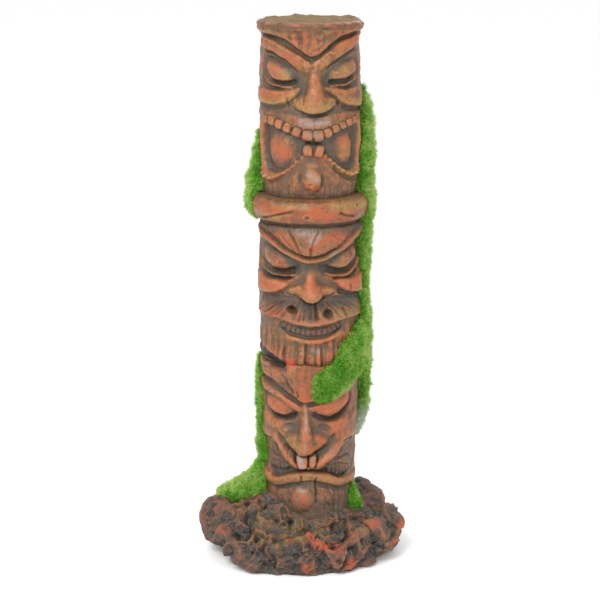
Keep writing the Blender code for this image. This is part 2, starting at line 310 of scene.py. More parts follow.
    def tint(self, name, points, width, amount):
        line = rounded(points)
        here = self.near(line, width)
        d, _ = self.line_distance(line, here)
        self.tints[name][here] += amount * smooth(1.0 - d / width)

    def work(self, text):
        """Carve and paint from rows of text: a tool or a tint, its numbers and any s z points."""
        for row in text.replace("\n ", " ").strip().splitlines():
            if row.startswith("#"):
                continue
            head, _, line = row.partition(":")
            name, *values = head.split()
            values = [float(v) for v in values]
            if line:
                values.insert(0, numbers(line))
            if name in self.tints:
                self.tint(name, *values)
            else:
                getattr(self, name)(*values)

    def nose(self, bottom, centre, top, tip, half_top, half_tip, start, widest, left, right, wing_out,
             out, root):
        """A bridge widening to a round tip, a wing sloping off each side, cut off along the bottom line.

        half_top and half_tip are the bridge's half widths. The wings start at one height, are widest at
        another, reach left and right of the centre and stand out by wing_out.
        """
        edge = np.interp(self.s, [p[0] for p in bottom], [p[1] for p in bottom])
        tuck = 1.0 - smooth((self.z - edge) / 2.4)
        a = self.s - centre
        t = np.clip((top - self.z) / (top - tip), 0.0, 1.0)
        half = 1.15 * mix(half_top, half_tip, t ** 1.6)
        rise = mix(root, out, smooth(t)) - 0.8 * tuck
        q = (a / half) ** 2
        body = np.where(q < 1.0, (rise + 2.5) * np.clip(1.0 - q, 0, 1) ** 0.72 - 2.5, -9.0)
        body = np.where(self.z > top, body - 0.8 * (self.z - top), body)
        grow = smooth((start - self.z) / (start - widest))
        d = np.abs(a) / mix(half_top * 1.1, np.where(a < 0, left, right), grow)
        flank = (mix(0.2, wing_out, grow) - 0.9 * tuck + 2.5) * np.clip(1.0 - d ** 3, 0, 1) ** 0.6 - 2.5
        flank = np.where((d < 1.0) & (self.z < start), flank, -9.0)
        body = soft_max(body, flank, 2.0)
        keep = smooth((self.z - edge) / 0.8 + 0.5)
        reach = (a > -left - 1.5) & (a < right + 1.5) & (self.z > tip - 5.0) & (self.z < top + 2.0)
        self.h = np.where(reach & (body > -5.0), mix(self.h, soft_max(body, self.h, 1.0), keep), self.h)

    def hold_sides(self):
        """Flatten the relief towards the pole's sides, where the outline shows how little of it there is."""
        side = smooth((np.abs(self.true_s) - 22.0) / 8.0)
        limit = np.where(self.h > 0.0, SIDE_OUT, SIDE_DEEP)
        held = limit * np.tanh(self.h / limit)
        self.h = mix(self.h, held, side)

    def weather(self):
        """Wood grain, cracks, chips and pits over the carving, and the plain back that it fades into."""
        p = self.place
        self.hold_sides()
        side = smooth((np.abs(self.true_s) - SIDE_FADE[0]) / (SIDE_FADE[1] - SIDE_FADE[0]))
        self.h *= 1.0 - side
        streak = noise(p / (1.1, 1.1, 11.0), self.seed + 4)
        streak += 0.6 * noise(p / (0.55, 0.55, 6.0), self.seed + 5)
        self.h += 0.34 * noise(p / 6.0, self.seed + 6) + 0.20 * noise(p / 2.4, self.seed + 7)
        self.h += 0.10 * noise(p / 1.1, self.seed + 13)
        self.h += streak * mix(0.07, 0.30, side)
        flute = np.abs(noise(p / (5.0, 5.0, 40.0), self.seed + 14))
        self.h += side * (0.7 * smooth(flute / 0.3) - 0.35)
        split = np.abs(noise(p / (4.2, 4.2, 30.0), self.seed + 8))
        where = smooth((noise(p / (9.0, 9.0, 14.0), self.seed + 9) - mix(0.24, -0.15, side)) / 0.2)
        self.h -= where * mix(0.5, 1.0, side) * smooth(1.0 - split / 0.035)
        chip = noise(p / (2.6, 2.6, 2.0), self.seed + 15)
        self.h -= 0.18 * smooth((chip - 0.42) / 0.12)
        pit = noise(p / 0.9, self.seed + 10)
        self.h -= 0.16 * smooth((pit - 0.46) / 0.2)

    def finish_paint(self):
        fine, broad, wide = blur(self.h, 3), blur(self.h, 9), blur(self.h, 26)
        self.tints["cavity"] = 0.9 * (fine - self.h) + 0.5 * (broad - self.h)
        self.tints["hollow"] = wide - self.h

    def surface(self):
        r = self.radius + self.h
        across, back = r * np.sin(self.true_angle), -r * np.cos(self.true_angle)
        return np.stack([across, back, self.true_z + self.lift], axis=-1)


# ---------------------------------------------------------------- the three faces


UPPER_SOCKETS = """
# Face hollows first, then what stands out of them
plate -1.1 3.4: -25 220, -14 219, -6 214.5, -3.5 209, -9 206.8, -18 205.6, -25 208
plate -1.1 3.4: 27 221, 16 219, 8 215, 4.5 210, 9 207, 18 205.8, 26 208
# Brim and the forehead that runs down from it to a point
plate 1.2 1.7: -60 229, -24 228.9, -14 228, -8 225.2, -3 221.6, 1.5 219.6, 6 222.4, 11 226.6, 16 229,
 24 229.4, 70 229.2, 70 245, -70 245, -70 229
cut 1.3 0.8 0.05: -30 228, -20 227.7, -13 226.9, -8 224.1, -3 220.7, 1.5 218.6, 6 221.1, 10 225, 14 227.4,
 26 229
"""
UPPER_FACE = """
cut 0.8 0.8: 4.5 231.8, 9 231.2, 14 232
# Brows
plate 1.2 1.5 0 0.08 0.5: -30 227.2, -23 227, -16 226, -9 223, -3.5 219.8, 1.2 217.6, 0.4 212.5, -4 214.6,
 -9 217.7, -15 221, -23 222.6, -30 222.8
plate 1.3 1.5 0 0.08 0.5: 31 228.8, 24 228.4, 15 226.6, 8.5 222.8, 4 219.6, 1 217.8, 2.4 212.8, 5.6 215.6,
 10 218.4, 16 221.2, 24 224, 31 225
cut 0.9 1: -25 221.8, -15 220.2, -9 216.9, -4.4 213
cut 0.8 0.7: -22 219.6, -14 218.4, -7.6 214.8
bead 0.8 0.6: -23 220.7, -14.5 219.4, -8 215.8
cut 1 1: 6.2 214.6, 11 217.8, 17 220.2, 25 223
# Eyelids, the slits under them and the thin lower lids
dome -14.8 213.6 9.2 4.5 -1.4 2.9 -24 1.2 0.9
dome 16.6 213.7 8.8 4.3 -1.4 3 20 1.2 0.9
cut 1.4 1.8: -22.5 214.2, -20 211.8, -17 209.9, -12 208.9, -7 209.6, -5 210.6
cut 1.4 1.7: 7.6 209.8, 11 209.5, 15 209.8, 20.5 211.2, 22.5 213.5
bead 1 1.1: -25 211.8, -21 209.4, -17 207.9, -11 207.2, -6 208
bead 1 1.1: 7.2 208.1, 12 207.8, 17 208.1, 22 209.6, 25 212
cut 0.9 0.7: -21.5 207.6, -17 206.4, -11 206.3
cut 0.9 0.6: 11 206.8, 16 206.7, 21 207.6
# Cheeks
plate 1.5 1.5 0 -0.16 0.5: -32 206.4, -22 205.9, -14 205.6, -8 206.6, -3.2 208.6, -4.2 205.2, -8 202.2,
 -13 200.2, -20 199.5, -28 200.8, -34 201.5
plate 1.5 1.5 0 -0.16 0.5: 4 208.4, 9 207.5, 15 206.2, 24 206.4, 34 205.6, 34 198.4, 24 198.6, 17 199.5,
 12.6 201.3, 9.4 204.2, 6 205.8
cut 1.2 0.6: -33 200.2, -28 199.4, -20 198.2, -13 198.8, -9 200.8
cut 1.2 0.7: 12.6 200.2, 17 198, 25 197.2, 33 196.9
cut 0.9 1.4: 5.2 205.4, 9.2 203.6, 12 201, 12.6 199
# Upper lip and philtrum
plate 0.7 1.2 0 -0.1: -34 196.6, -22 197.2, -13 196.4, -7 195.6, 1.5 195.2, 8 196.2, 15 197, 24 196.4,
 34 196, 34 192, 24 193.8, 17 193.4, 10 191.6, 3 189.2, -1 189.2, -8 191.8, -14 193.8, -20 194.6, -34 194
# Nose
nose 1.9 217 200.6 2.9 5.2 208.6 201.6 10 10.4 2.7 4.4 0.7: -9 202, -8 199.9, -5.2 198.8, -2.4 197.8,
 1.5 197, 4.8 197.2, 7.6 198.4, 10.4 199.8, 12.6 201.8
cut 0.9 0.5: -8.6 199.8, -5 198, -2 196.9, 1.6 196.2, 5 196.4, 8 197.7, 11.6 199.8
cut 0.8 1: -8.4 203.6, -9.6 201.4, -8.8 199.4
# Open mouth: two hollows, each with a round bulge in it
plate -1.9 1.8: -24.5 192.2, -17 191.6, -10 189.2, -4 186.4, 0.6 184.6, -1.8 180.6, -5.2 177.2, -9 174.2,
 -14 171.8, -20 171.4, -23.4 174.5, -24.4 183
plate -1.9 1.8: 24.8 192.2, 17.5 190.6, 10 188.6, 5 186.4, 1.8 184.6, 5 181.2, 8.6 177.6, 12 174.7,
 16 172.6, 21 172.2, 23.8 175.5, 24.8 184
dome -13 181.2 10 9.4 -2.4 3 0 1 0.9
dome 16 182 7.4 8.6 -2.4 2.8 0 1 0.9
bead 2 1.3: -25.2 194, -25.8 186, -25.6 178, -24 171.5, -20 169.6
bead 2 1.3: 25.4 195, 26.4 187, 26.2 179, 24.6 172.5, 21 170.6
# Lower lip, lumpy with teeth on the way down, and the bare middle pair
lip: -27 173.4, -25 170.4, -21 168.9, -16 169.3, -11 171.8, -7 175.6, -3.8 179.4
lip: 27.4 174.6, 25.4 171.4, 21 170.1, 16 171.5, 11.4 174.6, 7.8 178.6, 5.8 181.2
tooth -0.9 181.6 1.85 2.5 0.2 1.5 4
tooth 3.7 181.3 1.95 2.6 0.2 1.5 -14
hollow 1.2 184.4 2.8 1.2 1.2
# Upper teeth
teeth 0.35 1.15: -21.4 193.4 1.9 1.7 -4, -17.2 193.2 1.9 1.9 -8, -13.2 192.3 1.8 2 -14,
 -9.3 191 1.8 2 -20, -5.3 189.5 1.8 2.1 -22, -1 187.9 2.15 2.5 -4, 3.3 187.8 2.1 2.6 6,
 7.1 188.8 1.8 2.1 22, 10.5 190.3 1.6 1.8 22, 13.9 191.6 1.6 1.7 16, 17.3 192.5 1.6 1.6 12,
 20.9 193.2 1.7 1.5 6
# Chin
dome 1 174.4 4 2.8 -0.3 0.9 0 0.5 0.8
dome 1.2 169 4.6 5.6 -0.3 1.9 0 0.9 0.9
hollow 0.6 167.6 1 0.8 0.6
cut 0.9 0.7 0.35: -4 172.4, -4.9 169.5, -4.6 167
cut 0.9 1 0.3: 4.6 172.6, 5.5 169, 4.6 164.6
cut 1.3 0.5: -8 174.2, -14 168.4, -22 166.6
cut 1.3 0.8: 8.6 175.6, 13 171.2, 20 168, 28 167.4
"""
# Ochre dry brushing low on the cheeks and nose; slate and painted shade in the brow lines, creases and mouth,
# dark grey painted shade in the slits and mouth gap; light pinkish-grey painted highlights on lip, chin and
# lid, partly paint on the teeth
UPPER_PAINT = """
# Ochre dry brushing low on the cheeks and nose, soot in the brow lines
ochre 2.6 1: -27 201.8, -20 200.9, -12 201.2, -7 203.4
ochre 2.4 0.8: 11 203.2, 16 201, 28 200.4
ochre 3.2 1: -6.4 200.4, -2 199, 2 198.2, 6 199.4, 9.8 202
ochre 3.4 0.7: -8 213.2, -11 212.6
ochre 3.4 0.7: 9 214, 15 215
ochre 2.2 0.8: -20 170, -12 172.6, -7 177
ochre 2.2 0.8: 10 175, 16 171.4, 22 170.8
glow 3.4 0.9: -17 216, -12 214
glow 6.5 0.9: -15 183, -11 180
glow 5 0.9: 15 185, 17 181
glow 2.6 0.7: -28 224, -14 222.6, -5 217.6
glow 3 1: 12 223.6, 26 226.8
glow 2.2 0.6: -28 204, -14 203.4, -7 205.6
glow 2.6 0.8: 1.9 214, 1.9 204
soot 3.6 0.9: -34 162.6, 34 162.6
soot 2.4 0.7: -20 190, -22 176, -16 172
soot 2.4 0.7: 22 190, 23 177, 17 173
soot 2.6 0.7: -7 187, -2 183.4, 1 184.6, 6 185.4, 12 188
soot 3 1: -24 219, -14 217.8, -7 213.6, -4.4 209
soot 1.6 0.5: -26 226, -14 223.4, -7 220.6
soot 2.6 0.8: 7 213, 6 209, 10 208.4
soot 2.4 0.5: -18 167, -8 172, -4 176
pale 2.8 1: -3 193.4, 2 192.4, 7 193.8
pale 3 0.9: -0.6 172, 2.4 170
pale 1.8 0.7: 9.6 215.4, 14 217
pale 1.8 0.6: -1 188, 3.4 188
dark 2.2 0.8: -2 185.4, 1 184.6, 4 185.4
dark 1.3 0.6: -21 210.6, -14 209, -7 209.8
dark 1.3 0.6: 9 209.6, 15 209.8, 21 211.4
dark 2.4 0.5: -7 212, -4 208.6
dark 2.2 0.5: 7 212, 6.6 208.8
soot 2.2 0.6: -30 197.6, -12 197.4
soot 2.6 0.8: 12 198, 30 196
"""


def carve_upper(c):
    """The top head: flared rim, closed eyes and an open mouth with two rows of teeth."""
    c.work(UPPER_SOCKETS)
    for s, top, low, depth in ((-8.4, 231, 224.6, 0.35), (-4.4, 232, 221.6, 0.6), (-0.6, 231.5, 220.6, 0.3),
                               (5.6, 231, 222.6, 0.3), (10.2, 231.5, 226.2, 0.3)):
        c.cut([(s, top), (s + 0.4, (top + low) / 2), (s - 0.2, low)], 1.2, depth, 0.45)
    c.work(UPPER_FACE)
    for i in range(24):
        s = -30 + 2.55 * i + 0.8 * math.sin(5.1 * i)
        if abs(s - 1) > 5:
            c.cut([(s, 168.6 - 0.05 * abs(s)), (s + 0.3, 165), (s + 0.2, 158)], 0.6,
                  0.22 + 0.1 * math.sin(3.3 * i), 0.3)
    c.work(UPPER_PAINT)


MIDDLE_EYES = """
# Sockets
plate -1.8 3: -29 141.5, -18 141.2, -10 137.6, -4.5 134.2, -3.4 130.6, -9 127.6, -18 126.4, -26 127.6,
 -30 133
plate -1.8 3: 28 143.5, 18 140.8, 10 137.2, 4.5 134.2, 3.2 131, 8 128.8, 16 127.8, 25 128.6, 29 134
# Forehead under the band
plate 0.9 1.2 0 -0.04 0.3: -30 148.4, -14 149.4, 0 150, 14 149.6, 28 149, 22 145, 13 140.9, 6 138, 0 136.8,
 -6 138.6, -12 142.2, -20 146.2
cut 1.3 0.6 0: -34 149.2, -16 149.6, 0 149.9, 16 149.7, 34 149.4
cut 0.75 0.8: -9.2 149, -6.2 143, -3.6 138.2
cut 0.75 0.7: 3.6 149, 1.8 144, 0.2 138.6
cut 0.7 0.7: 0 141, 0.1 138.8, 0 137
cut 0.6 0.5: -13 146.4, -9 142.4, -6 139.8
cut 0.6 0.4: 9 146, 13 143.6, 16 142.8
# Brow line
bead 1.7 2.5 0.06 0.8: -34 147.4, -27 146, -20 144.2, -12 140.3, -6 136.9, 0 134.9, 6 136.2, 12 139,
 18 142.7, 24 146.6, 30 149.5
cut 0.8 0.7: -30 148.2, -20 146.4, -12 142.2, -6 138.4, 0 136.5, 6 137.8, 12 140.8, 18 144.8
bead 1.1 1.2: 21.5 140.2, 24.5 141.2, 25.5 143.6, 23.5 145.6
# Eyelids, slits and lower lids
dome -16 135.3 10 4.7 -2 3.3 -16 1.2 0.85
dome 15.8 135.3 9.8 4.7 -2 3.3 15 1.2 0.85
cut 1.4 1.5: -26.5 136.5, -24 133.4, -19.5 130.9, -14 129.9, -8.4 130.8, -5 132.6
cut 1.4 1.5: 5.8 133.4, 9 131.4, 14 130.3, 19.6 131.1, 23.4 133.6, 25.6 136.8
bead 1 1.9: -29 134.5, -26 130.8, -21 128.7, -15 128, -8 128.6, -5 130
bead 1 1.9: 5.4 130.6, 9 129, 14 128.2, 20 128.8, 24.6 131.4, 27.6 135.5
cut 1.1 1.3: -31 130.4, -25 127.9, -18 126.5, -10 127.4, -6.5 128.6
cut 0.9 1: 8.5 127.6, 13 127.2, 20 127.4, 26 129.2
# Cheeks
plate 1.8 1.5 0 -0.16 0.6: -34 127.2, -26 126.8, -18 125.8, -11 126.4, -8.2 125.4, -10.4 123.2, -14 121.2,
 -20 120, -28 120.2, -34 121
plate 1.9 1.5 0 -0.16 0.6: 9.6 126.6, 13 127.4, 19 126.2, 27 127.2, 34 127.5, 34 119.6, 27 119.5, 19 120,
 13 122.4, 10.4 124.8
cut 0.7 1.1 0.3: 16.4 124.8, 17 122.6, 16.4 120.6
cut 1.4 1.2: -33 119.4, -27 118.9, -20 118.8, -14 120, -10 122.2
cut 1.5 1.6: 10.8 123.2, 13 121.2, 19 118.8, 27 118.2, 33 118.2
# Moustache: it stands out more the lower it gets, and is cut by strokes that spread from the nose
plate 0.5 1.1 0 -0.3: -34 118.6, -20 119.2, -12 120.4, 0 118.4, 11 120.2, 20 118.6, 34 118.2, 34 108.6,
 22 108.9, 14 109.5, 8 108.1, 1 106.9, -6 107.9, -12 109.5, -20 110, -34 109.6
"""
MIDDLE_NOSE = """
hollow -7.6 113.8 2.9 2.1 2.8
hollow -8.4 114 2.2 1.8 1.2
hollow 7.8 112 2.8 2.6 3.4
nose 0.4 132.2 121.4 2.3 4.7 127.6 123 10.2 10.4 2.4 4.9 0.2: -10.4 123.6, -9.2 121.7, -5.6 120.9,
 -3.6 119.5, -1.5 118.3, 0.8 117.8, 3.2 118.5, 5 120.3, 8.4 120.9, 10.3 121.8, 11.2 123.6
cut 0.9 0.9: -10.4 122.2, -8 120.3, -4.6 119.6, -1.6 117.3, 0.8 116.9, 3.4 117.4, 5.6 119.4, 8.6 120.2,
 11 122.2
# The crescent that the teeth stand in
plate -0.9 0.8: -14.5 108.4, -8 107, 1 106, 10 107.2, 15 108.6, 12.5 105.4, 7 103.2, 1 102.2, -6 103,
 -12.5 105.4
"""
MIDDLE_LIP = """
cut 0.9 1.3: -15 107.4, -11.5 104.6, -6 102.5, 1 101.6, 8 102.7, 12.5 104.8, 15.4 107.2
bead 1.7 0.8: -12 103.2, -6 100.9, 1 100, 8 101, 13 103.2
"""
MIDDLE_BAND = """
bead 4 0.5: -24 94, -14 94.6, -4 94, 8 94.2, 16 95
# The left of the foot is cut back, which leaves a dark slot above the head below
plate -2.4 1.1: -60 96.2, -26 95.6, -20 94.2, -15 92.6, -11.4 91.2, -11 86, -60 86
# Band: carved lines, knots and a wavy lower edge
cut 0.7 0.8: -21.5 152.2, -16 153.4, -10 155.4, -5 157
bead 1.6 0.4: -20 153.6, -13 155.6, -6 158
cut 0.7 0.8: 10.6 155.8, 14.2 154, 18.4 153.4
"""
# Tints; slate and painted shade under the band and brow, in the sockets, slits, moustache and the slot at the
# foot, dark grey painted shade in the slits, the slot, under the band and at the nose; light pinkish-grey
# paint on forehead and eyelids and a painted highlight on the beard
MIDDLE_PAINT = """
# Tints
ochre 3.4 1: 8 158.6, 26 157
ochre 2 0.7: -26 154.6, -12 153.2
ochre 2 0.7: -1 158.6, -14 158.6
glow 3 0.9: -20 156, -8 157
glow 4 1: 2 156.6, 8 154
glow 2.6 0.9: -14 146, -8 143, -4 140.6
glow 3.6 1.2: 1 141, 7 144, 14 145.4
glow 3.2 1.2: 0.4 129, 0.4 121
glow 3.2 0.9: -28 124, -12 124
glow 3.4 1.1: 12 125, 28 123
glow 2 0.9: -5 108.6, 7 108.8
glow 2.6 0.6: -28 111, -12 111.2
ochre 2.6 1: 12 111.4, 30 111.4
ochre 1.6 0.9: -3 119.6, 0.5 118.6, 3.6 119.8
ochre 2 0.8: 6 122.6, 9 122.4
ochre 1.8 0.5: -7 121.8, -8 122.8
soot 3 1: -34 148.6, 34 149.2
soot 3.2 1: -27 147, -16 147
soot 3.4 1: 14 147.4, 24 147.4
soot 3.6 0.9: -9 135, -5 133
soot 3.4 0.9: 5 134, 10 135.6
soot 2.2 0.8: -30 141, -22 141, -12 137.6
soot 2.2 0.8: 28 143, 20 141.4, 12 137.8
soot 2.4 0.8: -28 131, -20 128, -9 128
soot 3 1.3: -13 106, -6 104.4, 1 104, 8 104.6, 14 106
soot 3 2: -32 94, -22 92.4, -13 90.4
glow 2.6 3.4: -9.6 91, -7.2 91
dark 2.8 2: -34 94.6, -24 92.4, -12.6 90.2
dark 1.8 0.7: -24 133, -16 130.4, -8 131, -4 133
dark 1.8 0.7: 4 133, 9 131, 16 130.4, 24 134
dark 2.6 0.6: -1 132.6, 1.6 132.6
dark 2 0.6: 8 126.6, 10.6 124
dark 2.6 0.6: 12 118.4, 28 117.4
dark 3 0.7: -1.5 116, 0.6 111
dark 1.4 0.5: -26 148.6, 0 149.6, 26 148.8
glow 6.5 0.6: -34 155.5, 34 155.5
soot 4 0.6: -34 104, -20 106
pale 3.2 1: -4 147.4, 3.6 147, 1 144
pale 2.4 0.8: 9 137.4, 15 139
pale 2.2 0.6: -9 137, -12 138
pale 2 0.6: 1.6 97, 5 96
soot 3.6 0.8: -4 131, 0 133, 4 131
soot 3.4 1.1: -26 117, -8 117, 0 115.2, 9 117, 20 117.2, 30 116
soot 3.2 0.9: 0 116, 0.4 111
soot 8 0.3: -34 98, -14 97
soot 11 0.4: -34 112, 34 112
soot 11 0.25: -34 137, 34 137
"""


def carve_middle(c):
    """The middle head: headband, moustache and a crescent of small teeth."""
    c.work(MIDDLE_EYES)
    for i in range(27):
        low = -29.0 + 2.2 * i + 0.7 * math.sin(3.7 * i)
        depth = 0.35 + 0.3 * abs(math.sin(2.3 * i + 1.0))
        reach = 109.4 - 0.4 * math.sin(1.9 * i) if abs(low) > 6 else 108.2
        c.cut([(0.42 * low, 118.8 - 0.04 * abs(low)), (0.7 * low, 114.5), (low, reach)], 0.65, depth, 0.2)
    c.cut([(14.4, 114.6), (16, 111.6), (16.2, 109.4)], 0.8, 1.1, 0.3)
    for s in (-2.6, 0.2, 2.8):
        c.cut([(0.6 * s, 118), (s, 113), (s, 109.6)], 0.8, 0.9)
    c.work(MIDDLE_NOSE)
    for i in range(12):
        s = -11.4 + 2.18 * i
        z = 104.25 + 0.0165 * (s - 1.0) ** 2
        c.tooth(s, z, 1.0, 1.5, -0.7, 0.55, 1.9 * (s - 1.0))
    c.work(MIDDLE_LIP)
    # Beard: long strokes down to the edge, no two alike
    for i in range(26):
        s = -30.0 + 2.3 * i + 0.8 * math.sin(2.7 * i)
        top = 100.4 + 0.10 * abs(s) + 1.2 * math.sin(5.3 * i) + (3.0 if abs(s) > 17 else 0.0)
        c.cut([(s, top), (s + 0.4, 96.5), (s - 0.2 * math.sin(i), 93.0), (s, 88.0)], 0.8,
              0.35 + 0.25 * abs(math.sin(1.7 * i + 0.4)), 0.25)
    for s, top, depth in ((-11.0, 98.6, 1.1), (-2.0, 101.0, 0.8), (4.8, 98.4, 0.7), (12.0, 99.6, 0.7)):
        c.cut([(s, top), (s + 0.4, 95.5), (s, 88.0)], 1.0, depth, 0.3)
    c.work(MIDDLE_BAND)
    for s, z in ((-1.0, 154.0), (19.4, 157.8), (-24.0, 156.4)):
        ring = np.abs(np.hypot((c.true_s - s) / 1.4, (c.true_z - z) / 1.15) - 1.0)
        c.h += 0.4 * smooth(1.0 - ring / 0.5)
        c.h -= 0.5 * smooth(1.0 - np.hypot(c.true_s - s, c.true_z - z) / 1.0)
    c.work(MIDDLE_PAINT)


LOWER_BROWS = """
# Sockets
plate -1.3 2.6: -27 76, -17 75.2, -9 72, -5.2 69.4, -5.6 66, -12 64, -19 64.6, -26 68.6
plate -1.3 2.6: 22 79, 13 75.2, 5 71.6, 0.6 69.4, 1.2 66, 8 63.6, 15 64.8, 21 69.4
# The rim, which flares out on the left, and the forehead under it
plate 1.9 2.6: -60 91.5, -20 91.5, -11 91, -8 90.8, -10 88, -20 86.8, -60 86.4
plate 1 2.2 0 0.03 0.3: -9 91, 14 91, 18 84, 12 77.2, 5 74, -1.8 71.8, -5.4 74.6, -8.6 79, -10.8 84.5
plate 0.8 2.4: -34 87.6, -14 88.2, -9.6 84, -12 80.6, -20 82.4, -34 84
cut 1.5 1.3 0.05: -31 82.6, -26 81.9, -20 80.6, -14 78.4, -8.2 75, -4.6 73, -2 72, 1.6 72.6, 6 74, 12 76.8,
 20 80.6, 27 84
cut 1 0.8 0.25: -13.4 86.4, -10.6 83.2, -8.2 79.6, -6.4 76.6
"""
LOWER_FACE = """
plate -1.6 1.6: -27 93, -9.6 93, -9.4 90.2, -12.4 88.2, -18 89.2, -27 91.4
# Brows
plate 1 1.1 0 0.1: -34 80.6, -24 79.6, -16 77.4, -9 74, -5 71.8, -2.4 71, -4.4 68.4, -8 70.4, -14 73.6,
 -22 76, -34 77.4
plate 1 1.1 0 0.1: -1.6 71, 2 71.6, 7 73.4, 13 76.4, 20 80, 30 84.6, 30 82.6, 20 77.6, 12 73.9, 5 70.6,
 0.6 68.6
cut 0.7 0.7: -24 76.4, -16 74.6, -9.6 71.8
# Eyelids and the slits under them
dome -15.2 70.8 9.2 5 -1.2 2.8 -15 1.1 0.85
dome 11.2 71.6 10.8 4.7 -1.2 2.9 22 1.1 0.85
cut 1.5 1.9: -25 72.2, -23.4 69.4, -19.4 66.7, -13.6 65.7, -8.4 66.6, -5.4 68.8
cut 1.5 1.9: 0.4 68.8, 4.6 66.2, 10 65.1, 15.4 66.8, 19.4 70.4, 21.4 75
# Cheeks swell gently out towards the mouth
plate 0.9 4: -30 66, -20 63.8, -12 62.8, -9 60, -12 56, -17 53.6, -24 54, -30 56
plate 0.9 4: 27 68, 18 64.2, 9.6 62.8, 7.4 59.6, 10 56.6, 15 53.6, 21 54.4, 28 57
# U-shaped lip that runs up beside the nose, with the muzzle's hollow inside it
plate -0.4 1.4: -15.5 60, -11.5 57, -8 53.4, 2 53.4, 7.5 57, 12 59.6, 9.6 53, 6 48.6, 1.6 45.8, -5.6 45.8,
 -9.6 49.6, -13 54.2
bead 3.2 2.3 0.25 0.8: -18.5 61.5, -15.4 56.6, -12.4 51.6, -9.2 47.6, -6 45, -2.2 43.9, 2 44.5, 6 46.8,
 10 49.8, 13.6 53.6, 16.6 59.5
# Two big front teeth
plate -1 0.7: -7.4 52, 3.8 52, 3.6 45.4, -2 43.6, -7 45.4
tooth -3.5 46.9 2.3 3.8 0.5 1.7 2
tooth 1 47.1 1.8 3.5 0.1 1.2 -2
# Nose
nose -2 71.2 54 2.1 4.6 62.4 56.4 11 11.4 2.5 4.6 0.9: -13.2 57.5, -12 55.2, -9.6 53.5, -7.4 51.8,
 -5.2 50.4, -2.4 49.8, -0.2 50.3, 2.2 51.9, 5.4 53.7, 8.8 55, 9.8 57.3
cut 0.9 1: -12.4 54.4, -9.6 52.6, -7.4 50.8, -5 49.4, -2.2 48.9, 0.4 49.4, 3.4 51.4, 6.4 52.8, 9.6 54.4
cut 1.7 0.8 0.35: -12.8 60, -11 62.2, -8.6 62.8, -6.2 61.4
cut 1.8 1 0.35: 2.8 61.6, 5 62.8, 7.4 62, 9.8 59
# The folds of skin beside the mouth, and the mouth's dark line
plate -0.5 1.6: -34 54.5, -20 54.2, -16 51, -11.6 46, -8 43.4, -12 41.4, -18 40.6, -34 42
plate -0.5 1.6: 30 54.5, 20 53.8, 14.6 50.6, 10 46, 6 43.6, 12 41.6, 20 38.6, 27 39.5
cut 0.9 0.8: -24 54.6, -20 54.4, -17 55.6
cut 0.9 0.9: 14.8 54.4, 19 54.6, 24 53.8
cut 0.9 1: -16.5 53.6, -17.6 49.8, -16 46.8, -12.4 45
cut 0.9 1: -23 48.6, -19.6 47.4, -16.6 46.6, -14 44.8, -9 43.8
cut 0.9 0.9: 11.4 47.2, 15 46.2, 19.4 47.2, 23 46.4
"""
LOWER_CHIN = """
# Lower lip and chin
plate 1.3 1.4 0 0.12 0.3: -34 40, -26 38.6, -18 36.8, -12 39, -6.5 41.2, -2 41.7, 3 41.5, 8 40.1, 14 37.6,
 20 36.4, 34 38.5, 34 34.8, 20 33.4, 13 34.2, 7 36.6, 2 37.8, -4 37.8, -9 36, -13 34.2, -19 33.2, -34 36
cut 1.7 1: -20 31.6, -13 33.2, -8 35.4, -3 36.6
cut 1.7 1: 3 36.4, 8 35, 13 32.8, 22 31.6
dome -3.6 28.6 6 6 -0.7 3 0 0.8 0.85
hollow -6 30.6 1.6 1 0.3 30
cut 0.7 0.9 0.25: -3.8 41, -3.9 38.6, -3.6 36.2
cut 0.75 1.1 0.15: 2.6 40.4, 2.4 36, 2.8 31, 2.6 26.5
cut 1.1 0.7 0.3: -9.6 32, -10.2 29, -9.8 25.4
dome 7.4 29.4 5 3.2 -0.2 0.9 0 0.5 0.9
dome -13.4 29.6 4.2 3.2 -0.2 0.9 0 0.5 0.9
bead 0.9 0.9: 9.8 35.2, 10.4 33.4, 9.8 31.8, 10.8 30.6
"""
